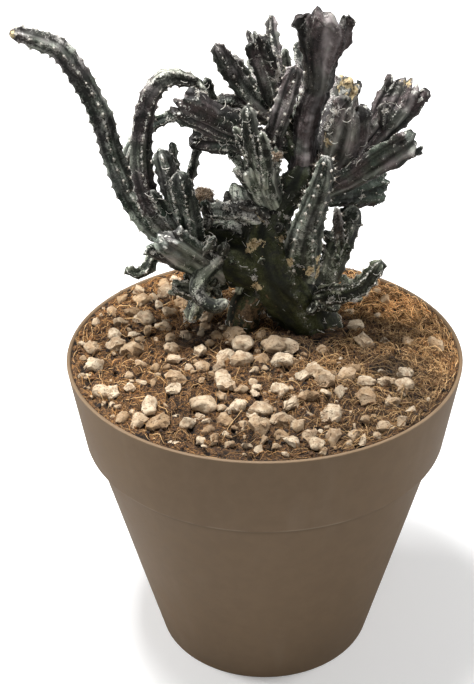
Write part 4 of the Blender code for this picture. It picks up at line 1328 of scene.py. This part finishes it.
class CACTUS_OT_areoles(Operator):
    """Set a felt pad and short spines on each areole"""
    bl_idname = "cactus.make_areoles"
    bl_label = "Make areoles and spines"

    def execute(self, context):
        settings = context.scene.cactus_skin
        felt = fuzz_material("areole felt", (0.84, 0.81, 0.74), (0.46, 0.42, 0.35))
        draw = random.Random(5)
        tufts = []
        for strand in chain.from_iterable(limbs_of(context).values()):
            for index, where, size in strand.areoles:
                spot = strand.spot(where / strand.length, index / strand.sides)
                tufts.append((*spot, size * draw.uniform(0.75, 1.25)))
        mesh = grown("areoles", tufts_from("areoles", tufts), areole_tree(felt, spine_material()), {
            "Felt radius": settings.felt, "Spine length": settings.spine_length})
        shown("areoles", mesh, "cactus_skin")
        return {"FINISHED"}


def wool_tree(matted, loose):
    """Matted lumps with loose curled hairs, on points that have a facing and a size."""
    net = Growth("wool", lump_depth=0.006, hair_radius=0.00009, hair_density=1300000.0, hair_length=1.0,
                 seed=9)
    ball = net.shape("MeshIcoSphere", {"Radius": 0.0005, "Subdivisions": 3})
    ball = net.shape("Transform", {0: ball, "Scale": (1.0, 0.8, 0.5)})
    facing = net.towards(net.named("facing", "FLOAT_VECTOR"))
    lumpy = net.copies(net.points, ball, rotation=facing, scale=net.named("size"))
    lumps = net.math("SUBTRACT", net.noise(net.shape("InputPosition"), 420.0, 3.0, 0.6), 0.5)
    swing = net.product(lumps, net.given["Lump depth"])
    lumpy = net.moved(lumpy, net.scaled(net.shape("InputNormal"), swing))
    spread = net.node("GeometryNodeDistributePointsOnFaces", {
        "Mesh": lumpy, "Density": net.given["Hair density"], "Seed": net.given["Seed"]}).outputs
    curl = net.bow(3, (0.0, 0.0, -0.0002), (0.0004, 0.0, 0.0011), (0.0015, 0.0004, 0.0006))
    hair = net.tube(curl, net.given["Hair radius"])
    long = net.product(net.random(0.4, 1.3, 5), net.given["Hair length"])
    hairs = net.copies(spread["Points"], hair, rotation=net.tousled(spread["Rotation"], 0.7), scale=long)
    return net.done(net.joined(net.coated(lumpy, matted), net.coated(hairs, loose)))


class CACTUS_OT_wool(Operator):
    """Lay the tufts of white and brown wool on the growing points"""
    bl_idname = "cactus.make_wool"
    bl_label = "Make wool"

    def execute(self, context):
        # Name, tufts, dark, body and pale colours, length and density of the hairs
        kinds = (
            ("white_wool", WOOL, (0.10, 0.08, 0.06), (0.46, 0.43, 0.37), (0.78, 0.76, 0.70),
             1.25, 1300000.0),
            ("brown_wool", BROWN_WOOL, (0.05, 0.028, 0.014), (0.17, 0.105, 0.055), (0.50, 0.38, 0.25),
             1.5, 850000.0),
        )
        strands = strands_of(context)
        draw = random.Random(21)
        for kind, table, dark, body, pale, reach, density in kinds:
            tufts = []
            rows = ((strands[name][number], *row) for name, spots in table.items() for number, *row in spots)
            for strand, share, turn, size in rows:
                for lump in range(3):
                    spread = 0.35 * size / strand.length if lump else 0.0
                    spot = strand.spot(min(1.0, share + draw.uniform(-spread, spread)),
                                       turn + draw.uniform(-0.05, 0.05))
                    tufts.append((*spot, size * (draw.uniform(0.35, 0.6) if lump else 0.8)))
            mat = fuzz_material(f"{kind} mat", body, dark)
            hair = fuzz_material(f"{kind} hair", pale, body)
            mesh = grown(kind, tufts_from(kind, tufts), wool_tree(mat, hair), {
                "Hair length": reach, "Hair density": density})
            shown(kind, mesh, "cactus_skin")
        return {"FINISHED"}


def thread_tree(material):
    """Thin dried threads that arch off the skin, on points that have a facing and a size."""
    net = Growth("threads", radius=0.00014, seed=3)
    line = net.bow(5, (0.0, 0.0, -0.0003), (0.0016, 0.0005, 0.0026), (0.0042, -0.0006, 0.0002))
    line = net.tube(line, net.given["Radius"])
    way = net.tousled(net.towards(net.named("facing", "FLOAT_VECTOR")), 0.5)
    threads = net.copies(net.points, line, rotation=way, scale=net.named("size"))
    return net.done(net.coated(threads, material))


class CACTUS_OT_threads(Operator):
    """Leave dried white threads on the trunk, the low crests and the woolly parts"""
    bl_idname = "cactus.make_threads"
    bl_label = "Make dried threads"

    def execute(self, context):
        strands = strands_of(context)
        draw = random.Random(41)
        tufts = [(*draw.choice(strands[name]).spot(draw.uniform(0.1, 0.97), draw.random()),
                  draw.uniform(0.5, 1.7)) for name, count in THREADS.items() for _ in range(count)]
        pale = fuzz_material("dried thread", (0.80, 0.78, 0.72), (0.50, 0.46, 0.38))
        mesh = grown("threads", tufts_from("threads", tufts), thread_tree(pale))
        shown("dried_threads", mesh, "cactus_skin")
        return {"FINISHED"}


def soil_height(x, y):
    """The soil's surface, as the solid model has it."""
    reach = min(1.0, math.hypot(x, y) / (RIM_RADIUS - WALL))
    relief = SOIL_RELIEF * noise.noise(Vector((x, y, 0)) / SOIL_RELIEF_SIZE) * min(1.0, 5 * (1 - reach))
    return SOIL_LEVEL + SOIL_MOUND * (1 - reach ** 2) + relief


def hollow(x, y):
    """Depth of the hollows between the soil's lumps, where the soil is painted darker as shade."""
    lump = noise.noise(Vector((x, y, 0)) / 6.0 + Vector((8, 2, 4)))
    return max(-HOLLOW_DEPTH, min(0.0, lump + 0.16) * 14.0)


def crumbly_height(x, y):
    """The soil's surface with the fine relief of its crust, which dies out at the wall."""
    near_wall = min(1.0, (SOIL_EDGE - math.hypot(x, y)) / 3)
    place = Vector((x, y, 0))
    broad = noise.noise(place / 7.0 + Vector((3, 1, 0)))
    middle = abs(noise.noise(place / 3.1))
    fine = noise.noise(place / 1.5 + Vector((0, 9, 0)))
    crust = 1.1 * broad + 1.6 * middle + 0.6 * fine - 0.4 + hollow(x, y)
    return soil_height(x, y) + 0.9 + near_wall * crust


def covered(x, y):
    """Share of crumbs and mat: little in the hollows."""
    return 1.0 if hollow(x, y) > -1.2 else 0.12


def stony(x, y):
    """Share of stones: most at the front and left, few at the right-hand back, and in loose groups."""
    share = min(1.0, max(0.05, 0.50 - (1.0 * x + 0.9 * y) / 160))
    return share * (1.0 if noise.noise(Vector((x, y, 40)) / 24.0) > -0.02 else 0.13)


def fibrous(x, y):
    """Share of fibres: most at the right-hand back, fewer elsewhere."""
    return min(1.0, max(0.10, 0.35 + (1.3 * x + 0.7 * y) / 170))


class CACTUS_OT_soil(Operator):
    """Fill the pot with crumbly soil"""
    bl_idname = "cactus.make_soil"
    bl_label = "Make soil"

    def execute(self, context):
        angles = np.linspace(0, FULL_TURN, SOIL_STEPS, endpoint=False)
        points = [(0.0, 0.0, crumbly_height(0, 0))]
        for ring in range(1, SOIL_RINGS + 1):
            reach = SOIL_EDGE * ring / SOIL_RINGS
            ways = [(reach * math.cos(angle), reach * math.sin(angle)) for angle in angles]
            points += [(x, y, crumbly_height(x, y)) for x, y in ways]
        floor = FLOOR_THICKNESS + SOIL_GAP
        walls = ((COLLAR_FOOT_RADIUS - WALL - 2 * SOIL_GAP, COLLAR_FOOT + 2 * WALL + SOIL_GAP),
                 (BODY_TOP_RADIUS - WALL - 2 * SOIL_GAP, COLLAR_FOOT + WALL), (BASE_RADIUS - WALL, floor))
        for radius, height in walls:
            points += [(radius * math.cos(angle), radius * math.sin(angle), height) for angle in angles]
        points.append((0.0, 0.0, floor))
        k = np.arange(SOIL_STEPS)
        after = (k + 1) % SOIL_STEPS
        last = 1 + (SOIL_RINGS + len(walls) - 1) * SOIL_STEPS
        faces = np.column_stack((0 * k, 1 + k, 1 + after)).tolist()
        for low in range(1, last, SOIL_STEPS):
            high = low + SOIL_STEPS
            faces += np.column_stack((low + k, high + k, high + after, low + after)).tolist()
        faces += np.column_stack((last + after, last + k, 0 * k + len(points) - 1)).tolist()
        # deep: how far each point lies down a hollow, for the painted shade there
        mesh = mesh_from("soil", points, faces, deep=[-hollow(x, y) / HOLLOW_DEPTH for x, y, _ in points])
        mesh.materials.append(earth_material(context.scene.cactus_soil))
        shown("soil_filling", mesh, "soil_mix", "soil")
        return {"FINISHED"}


class CACTUS_OT_stones(Operator):
    """Round and pit the large pumice stones"""
    bl_idname = "cactus.make_stones"
    bl_label = "Make large stones"

    def execute(self, context):
        whole = bmesh.new()
        shades = []
        draw = random.Random(8)
        for name in LARGE_STONES:
            bm = bmesh.new()
            bm.from_mesh(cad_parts[name].data)
            bmesh.ops.remove_doubles(bm, verts=bm.verts, dist=MERGE)
            middle = sum((vert.co for vert in bm.verts), Vector()) / len(bm.verts)
            bmesh.ops.subdivide_edges(bm, edges=bm.edges, cuts=5, use_grid_fill=True)
            bmesh.ops.triangulate(bm, faces=bm.faces)
            for _ in range(2):
                bmesh.ops.smooth_vert(bm, verts=bm.verts, factor=0.5, use_axis_x=True, use_axis_y=True,
                                      use_axis_z=True)
            for vert in bm.verts:
                place = vert.co / MM
                lump = noise.noise(place / 7.0) * 2.6 + noise.noise(place / 3.1) * 0.9
                pit = max(0.0, noise.noise(place / 1.7 + Vector((5, 5, 5))) - 0.2) * 1.8
                vert.co += (vert.co - middle).normalized() * ((0.9 + lump - pit) * MM)
            shades += [draw.uniform(0.45, 1.0)] * len(bm.verts)
            scrap = mesh_of(bm, "stone")
            whole.from_mesh(scrap)
            bpy.data.meshes.remove(scrap)
        bmesh.ops.recalc_face_normals(whole, faces=whole.faces)
        mesh = mesh_of(whole, "large_stones")
        mesh.shade_smooth()
        mesh.attributes.new("shade", "FLOAT", "POINT").data.foreach_set("value", shades)
        mesh.materials.append(pumice_material(context.scene.cactus_soil))
        shown("large_stones", mesh, "pumice", *LARGE_STONES)
        return {"FINISHED"}


def stone_shapes():
    """Angular lumps a millimetre across: hulls of seeded points, cut finer and softened."""
    shapes = bpy.data.collections.new("stone shapes")
    for seed in range(STONE_SHAPES):
        draw = random.Random(70 + seed)
        bm = bmesh.new()
        corners = 11 + seed % 4
        for index in range(corners):
            height = 1 - 2 * (index + 0.5) / corners
            angle = index * 2.4 + draw.uniform(-0.5, 0.5)
            ring = math.sqrt(1 - height ** 2)
            way = Vector((ring * math.cos(angle), ring * math.sin(angle), height))
            bm.verts.new(way * 0.5 * draw.uniform(0.8, 1.05))
        hull = bmesh.ops.convex_hull(bm, input=bm.verts)
        spare = [item for item in hull["geom_interior"] if isinstance(item, bmesh.types.BMVert)]
        bmesh.ops.delete(bm, geom=spare, context="VERTS")
        bmesh.ops.subdivide_edges(bm, edges=bm.edges, cuts=2, use_grid_fill=True, smooth=0.35)
        bmesh.ops.triangulate(bm, faces=bm.faces)
        bmesh.ops.recalc_face_normals(bm, faces=bm.faces)
        bmesh.ops.scale(bm, vec=(MM, MM, MM), verts=bm.verts)
        shapes.objects.link(bpy.data.objects.new("stone shape", mesh_of(bm, "stone shape")))
    return shapes


def rubble_tree(name):
    """Rough lumps on points that have a size: copies of random proportions, dented by noise."""
    net = Growth(name, material="NodeSocketMaterial", roughness=0.4, dent_size=0.003, flatness=0.6,
                 narrowness=0.6, seed=1, shapes="NodeSocketCollection", shaped=False)
    given = net.given
    ball = net.shape("MeshIcoSphere", {"Radius": 0.0005, "Subdivisions": 1})
    ball = net.shape("GeometryToInstance", {0: ball})
    shapes = net.shape("CollectionInfo", {
        "Collection": given["Shapes"], "Separate Children": True, "Reset Children": True})
    lumps = net.shape("Switch", {0: given["Shaped"], 1: ball, 2: shapes}, input_type="GEOMETRY")
    tumble = {0: (-0.4, -0.4, 0.0), 1: (0.4, 0.4, 6.28), "Seed": given["Seed"]}
    turn = net.node("FunctionNodeRandomValue", tumble, data_type="FLOAT_VECTOR").outputs[0]
    tall = net.product(net.random(0.8, 1.2, 7), given["Flatness"])
    size = net.named("size")
    shape = net.scaled(net.xyz(1.0, net.random(given["Narrowness"], 1.0, given["Seed"]), tall), size)
    kept = net.kept(net.points, "shade", net.random(0.0, 1.0, 13))
    placed = net.copies(kept, lumps, pick_instance=True, rotation=turn, scale=shape)
    fineness = net.math("DIVIDE", 1.0, given["Dent size"])
    dents = net.noise(net.shape("InputPosition"), fineness, 2.0, 0.5, "Color")
    dents = net.vectors("SUBTRACT", dents, (0.5, 0.5, 0.5))
    rough = net.moved(placed, net.scaled(dents, net.product(size, given["Roughness"], MM)))
    return net.done(net.coated(rough, given["Material"]))


def ground_points(count, seed, sizes, keep, clearance=1.0, apart=0.0, power=2.2):
    """Seeded places on the soil, kept by a rule of x and y, clear of the trunk's feet and of each other."""
    draw = random.Random(seed)
    found = []
    for _ in range(60 * count):
        if len(found) == count:
            break
        angle = draw.uniform(0, FULL_TURN)
        size = sizes[0] + (sizes[1] - sizes[0]) * draw.random() ** power
        reach = (SOIL_EDGE - 1.5 - 0.4 * size * (apart > 0)) * math.sqrt(draw.random())
        x = reach * math.cos(angle)
        y = reach * math.sin(angle)
        if draw.random() > keep(x, y):
            continue
        if any(math.dist((x, y), foot[:2]) < foot[2] * clearance for foot in TRUNK_FEET):
            continue
        if apart and any(math.dist((x, y), other[:2]) < apart * (size + other[2]) for other in found):
            continue
        found.append((x, y, size))
    return found


class CACTUS_OT_rubble(Operator):
    """Scatter small pumice stones and crumbs over the soil"""
    bl_idname = "cactus.make_rubble"
    bl_label = "Make small stones and crumbs"

    def scattered(self, name, slot, spots, lift, values):
        """A piece of rough lumps on spots of the soil, raised by a share of their size."""
        points = [(x, y, crumbly_height(x, y) + lift * size) for x, y, size in spots]
        mesh = mesh_from(name, points, size=[size for _, _, size in spots])
        mesh = grown(name, mesh, rubble_tree(name), values)
        shown(name, mesh, slot)
        return mesh

    def execute(self, context):
        settings = context.scene.cactus_soil
        stones = ground_points(settings.small_stones, 31, (3.4, 21.0), stony, apart=0.38, power=1.2)
        mesh = self.scattered("small_stones", "pumice", stones, 0.10, {
            "Material": bpy.data.materials["cream pumice"], "Roughness": 0.55, "Dent size": 0.0050,
            "Flatness": 0.62, "Narrowness": 0.38, "Shapes": stone_shapes(), "Shaped": True})
        mesh.shade_smooth()
        mesh.set_sharp_from_angle(angle=math.radians(40))
        crumbs = ground_points(settings.crumbs, 32, (1.0, 4.4), covered)
        bark = shaded_material("bark crumb", (0.007, 0.003, 0.001), (0.19, 0.085, 0.027), 900.0, 1.8)
        self.scattered("crumbs", "soil_mix", crumbs, 0.15, {
            "Material": bark, "Roughness": 0.9, "Dent size": 0.0016, "Flatness": 0.5, "Narrowness": 0.35,
            "Seed": 2})
        return {"FINISHED"}


def fibre_tree(material):
    """Thin bent fibres that lie on a surface, on points that have a size and a turn."""
    net = Growth("fibres", ground="NodeSocketObject", radius=0.0003, bend=0.014, seed=6, points=7)
    given = net.given
    line = net.shape("CurvePrimitiveLine", {"Start": (-0.0005, 0, 0), "End": (0.0005, 0, 0)})
    line = net.shape("ResampleCurve", {"Curve": line, "Count": given["Points"]})
    kept = net.kept(net.points, "shade", net.random(0.0, 1.0, given["Seed"]))
    kept = net.kept(kept, "lift", net.random(0.0, 1.0, 17))
    laid = net.copies(kept, line, rotation=net.xyz(z=net.named("turn")), scale=net.named("size"))
    place = net.shape("InputPosition")
    bend = net.noise(net.vectors("ADD", place, net.xyz(z=net.named("shade"))), 60.0, 1.5, 0.5, "Color")
    bend = net.scaled(net.vectors("SUBTRACT", bend, (0.5, 0.5, 0.5)), given["Bend"])
    laid = net.moved(laid, net.vectors("MULTIPLY", bend, (1.0, 1.0, 0.0)))
    ground = net.node("GeometryNodeObjectInfo", {"Object": given["Ground"]}, transform_space="ORIGINAL")
    hit = net.node("GeometryNodeRaycast", {
        "Target Geometry": ground.outputs["Geometry"],
        "Source Position": net.vectors("ADD", place, (0.0, 0.0, 0.05)),
        "Ray Direction": (0.0, 0.0, -1.0), "Ray Length": 0.2}).outputs
    along = net.node("GeometryNodeSplineParameter").outputs["Factor"]
    arch = net.math("SINE", net.product(along, math.pi))
    arch = net.product(arch, net.math("POWER", net.named("lift"), 4.0), 0.006)
    rise = net.xyz(z=net.sum(arch, given["Radius"]))
    laid = net.shape("SetPosition", {
        0: laid, "Selection": hit["Is Hit"], "Position": net.vectors("ADD", hit["Hit Position"], rise)})
    thick = net.shape("SetCurveRadius", {0: laid, "Radius": net.random(0.6, 1.3, 8)})
    return net.done(net.coated(net.tube(thick, given["Radius"]), material))


class CACTUS_OT_fibres(Operator):
    """Strew coir fibres over the soil: a brown mat, and longer straw-coloured ones on top"""
    bl_idname = "cactus.make_fibres"
    bl_label = "Make coir fibres"

    def execute(self, context):
        settings = context.scene.cactus_soil
        # Name, dark and light colours, contrast, lengths, rule, seed and number of bends
        kinds = (
            ("mat", (0.014, 0.006, 0.002), (0.50, 0.255, 0.085), 1.8, (4.0, 16.0), covered, 33, 5),
            ("straw", (0.13, 0.055, 0.016), settings.straw, 1.2, (7.0, 36.0), fibrous, 34, 7),
        )
        for kind, dark, light, contrast, lengths, rule, seed, bends in kinds:
            draw = random.Random(seed + 10)
            rows = []
            for x, y, size in ground_points(settings.fibres, seed, lengths, rule, 1.3):
                turn = draw.uniform(0, FULL_TURN)
                # A fibre near the wall is short and lies along it
                if SOIL_EDGE - math.hypot(x, y) < 0.5 * size + 5:
                    turn = math.atan2(y, x) + math.pi / 2 + draw.uniform(-0.2, 0.2)
                    size = min(size, 14.0)
                rows.append(((x, y, soil_height(x, y)), size, turn))
            points, sizes, turns = zip(*rows)
            coir = shaded_material(f"coir {kind}", dark, light, 260.0, contrast)
            mesh = grown("fibres", mesh_from("fibres", points, size=sizes, turn=turns), fibre_tree(coir), {
                "Ground": bpy.data.objects["soil_filling"], "Radius": settings.fibre_radius, "Seed": seed,
                "Points": bends})
            shown(f"coir_{kind}", mesh, "soil_mix")
        return {"FINISHED"}


def lathe_tree(material):
    """Turn a profile of points about the Z axis, and bore drain holes through the floor."""
    net = Growth("pot lathe", segments=128, holes=DRAIN_HOLES, hole_radius=DRAIN_RADIUS * MM,
                 hole_circle=DRAIN_CIRCLE * MM)
    given = net.given
    circle = net.shape("CurvePrimitiveCircle", {"Resolution": given["Segments"], "Radius": 1.0})
    profile = net.shape("MeshToCurve", {0: net.points})
    turned = net.shape("CurveToMesh", {"Curve": circle, "Profile Curve": profile})
    merged = net.shape("MergeByDistance", {0: turned, "Distance": MERGE})
    ring = net.shape("MeshCircle", {"Vertices": given["Holes"], "Radius": given["Hole circle"]})
    ring = net.shape("Transform", {0: ring, "Rotation": (0.0, 0.0, math.pi / DRAIN_HOLES)})
    bit = net.shape("MeshCylinder", {"Vertices": 24, "Radius": given["Hole radius"], "Depth": 0.03})
    cut = {0: merged, 1: net.copies(ring, bit)}
    cut = net.shape("MeshBoolean", cut, operation="DIFFERENCE", solver="EXACT")
    return net.done(net.coated(net.shape("RealizeInstances", {0: cut}), material))


def rounded(profile, radius, steps=4):
    """Replace each inner corner of a profile by a small arc."""
    profile = [np.array(corner, dtype=float) for corner in profile]
    made = [profile[0]]
    for before, corner, after in zip(profile, profile[1:], profile[2:]):
        sides = [other - corner for other in (before, after)]
        reach = min(radius, *(0.45 * np.linalg.norm(side) for side in sides))
        start, end = (corner + side / np.linalg.norm(side) * reach for side in sides)
        for t in np.linspace(0.0, 1.0, steps + 1):
            made.append((1 - t) ** 2 * start + 2 * t * (1 - t) * corner + t * t * end)
    return made + [profile[-1]]


class CACTUS_OT_pot(Operator):
    """Turn the thin-walled pot with its collar and drain holes"""
    bl_idname = "cactus.make_pot"
    bl_label = "Make pot"

    def execute(self, context):
        settings = context.scene.cactus_pot
        floor_radius = BASE_RADIUS + (BODY_TOP_RADIUS - BASE_RADIUS) * FLOOR_THICKNESS / COLLAR_FOOT
        profile = rounded((
            (0, FLOOR_THICKNESS),
            (floor_radius - WALL, FLOOR_THICKNESS),
            (BODY_TOP_RADIUS - WALL, COLLAR_FOOT + WALL),
            (COLLAR_FOOT_RADIUS - WALL, COLLAR_FOOT + 2 * WALL),
            (RIM_RADIUS - WALL, POT_HEIGHT),
            (RIM_RADIUS, POT_HEIGHT),
            (COLLAR_FOOT_RADIUS, COLLAR_FOOT),
            (BODY_TOP_RADIUS, COLLAR_FOOT),
            (BASE_RADIUS, 0),
            (0, 0),
        ), EDGE_ROUNDING)
        # The lathe's circle has a radius of a metre, and a profile on it hangs upside down
        points = [(reach * MM - 1.0, -height * MM, 0) for reach, height in profile]
        mesh = bpy.data.meshes.new("pot")
        mesh.from_pydata(points, [(i, i + 1) for i in range(len(points) - 1)], [])
        mesh = grown("pot", mesh, lathe_tree(plastic_material(settings)), {"Segments": settings.segments})
        bm = bmesh.new()
        bm.from_mesh(mesh)
        bmesh.ops.remove_doubles(bm, verts=bm.verts, dist=MERGE)
        bmesh.ops.recalc_face_normals(bm, faces=bm.faces)
        bm.to_mesh(mesh)
        bm.free()
        mesh.shade_smooth()
        mesh.set_sharp_from_angle(angle=math.radians(50))
        shown("pot_shell", mesh, "pot_plastic", "pot")
        return {"FINISHED"}


class CACTUS_OT_stage(Operator):
    """Set the floor, the light and the camera"""
    bl_idname = "cactus.make_stage"
    bl_label = "Make stage"

    def execute(self, context):
        scene = context.scene
        self.set_floor(scene)
        world = bpy.data.worlds.new("studio")
        world.use_nodes = True
        net = Net(world.node_tree)
        seen = net.node("ShaderNodeLightPath").outputs["Is Camera Ray"]
        sky = net.ramp(seen, 0.0, 1.0, scene.cactus_stage.light, 1.0)
        net.feed(world.node_tree.nodes["Background"], {"Color": (1.0, 1.0, 1.0), "Strength": sky})
        scene.world = world
        for name, place, aim, size, power in LAMPS:
            lamp = bpy.data.lights.new(name, "AREA")
            lamp.size = size
            lamp.energy = power
            holder = bpy.data.objects.new(name, lamp)
            holder.location = place
            holder.rotation_euler = (Vector(aim) - Vector(place)).to_track_quat("-Z", "Y").to_euler()
            scene.collection.objects.link(holder)
        lens = bpy.data.cameras.new("camera")
        lens.sensor_width = SENSOR
        lens.lens = FOCAL_PIXELS / IMAGE_HEIGHT * SENSOR
        lens.shift_x = -(MIDDLE_COLUMN - IMAGE_WIDTH / 2) / IMAGE_HEIGHT
        lens.clip_start = 0.01
        camera = bpy.data.objects.new("camera", lens)
        camera.location = CAMERA_PLACE
        camera.rotation_euler = (math.radians(90 - CAMERA_DIP), 0.0, 0.0)
        scene.collection.objects.link(camera)
        scene.camera = camera
        scene.view_settings.view_transform = "Standard"
        return {"FINISHED"}

    def set_floor(self, scene):
        """A floor that is white to the camera away from the pot, and grey to the light on it."""
        mesh = bpy.data.meshes.new("floor")
        corners = [(x * FLOOR_HALF, y * FLOOR_HALF, 0) for x, y in ((-1, -1), (1, -1), (1, 1), (-1, 1))]
        mesh.from_pydata(corners, [], [(0, 1, 2, 3)])
        net = Finish("pale floor")
        seen = net.node("ShaderNodeLightPath").outputs["Is Camera Ray"]
        pale = net.mix(net.noise(net.vector, 3.0), (0.88, 0.88, 0.88), (0.92, 0.92, 0.92))
        away = net.vectors("LENGTH", net.vector, out="Value")
        glow = net.product(seen, net.ramp(away, 0.10, 1.3, 0.20, 0.9))
        mesh.materials.append(net.done({
            "Base Color": net.mix(seen, (0.38, 0.38, 0.38), pale), "Roughness": 0.8,
            "Emission Color": (1.0, 1.0, 1.0), "Emission Strength": glow}))
        floor = bpy.data.objects.new("floor", mesh)
        scene.collection.objects.link(floor)


OPERATORS = (CACTUS_OT_stage, CACTUS_OT_pot, CACTUS_OT_soil, CACTUS_OT_stones, CACTUS_OT_rubble,
             CACTUS_OT_fibres, CACTUS_OT_skin, CACTUS_OT_sprouts, CACTUS_OT_areoles, CACTUS_OT_flecks,
             CACTUS_OT_wool, CACTUS_OT_threads)
GROUPS = {"cactus_pot": PotSettings, "cactus_soil": SoilSettings, "cactus_skin": SkinSettings,
          "cactus_stage": StageSettings}


class CACTUS_PT_panel(Panel):
    """Sizes and colours of the cactus, and its steps in order"""
    bl_idname = "CACTUS_PT_panel"
    bl_label = "Potted crested cactus"
    bl_space_type = "VIEW_3D"
    bl_region_type = "UI"
    bl_category = "Cactus"

    def draw(self, context):
        for group_name in GROUPS:
            group = getattr(context.scene, group_name)
            box = self.layout.box()
            for name in group.bl_rna.properties.keys():
                if name not in ("rna_type", "name"):
                    box.prop(group, name)
        for step in OPERATORS:
            self.layout.operator(step.bl_idname)


def register():
    for name, group in GROUPS.items():
        bpy.utils.register_class(group)
        setattr(bpy.types.Scene, name, PointerProperty(type=group))
    for item in (*OPERATORS, CACTUS_PT_panel):
        bpy.utils.register_class(item)


def unregister():
    for item in (CACTUS_PT_panel, *reversed(OPERATORS)):
        bpy.utils.unregister_class(item)
    for name, group in GROUPS.items():
        delattr(bpy.types.Scene, name)
        bpy.utils.unregister_class(group)


def main():
    register()
    for step in OPERATORS:
        getattr(bpy.ops.cactus, step.bl_idname.split(".")[1])()


if __name__ == "__main__":
    main()
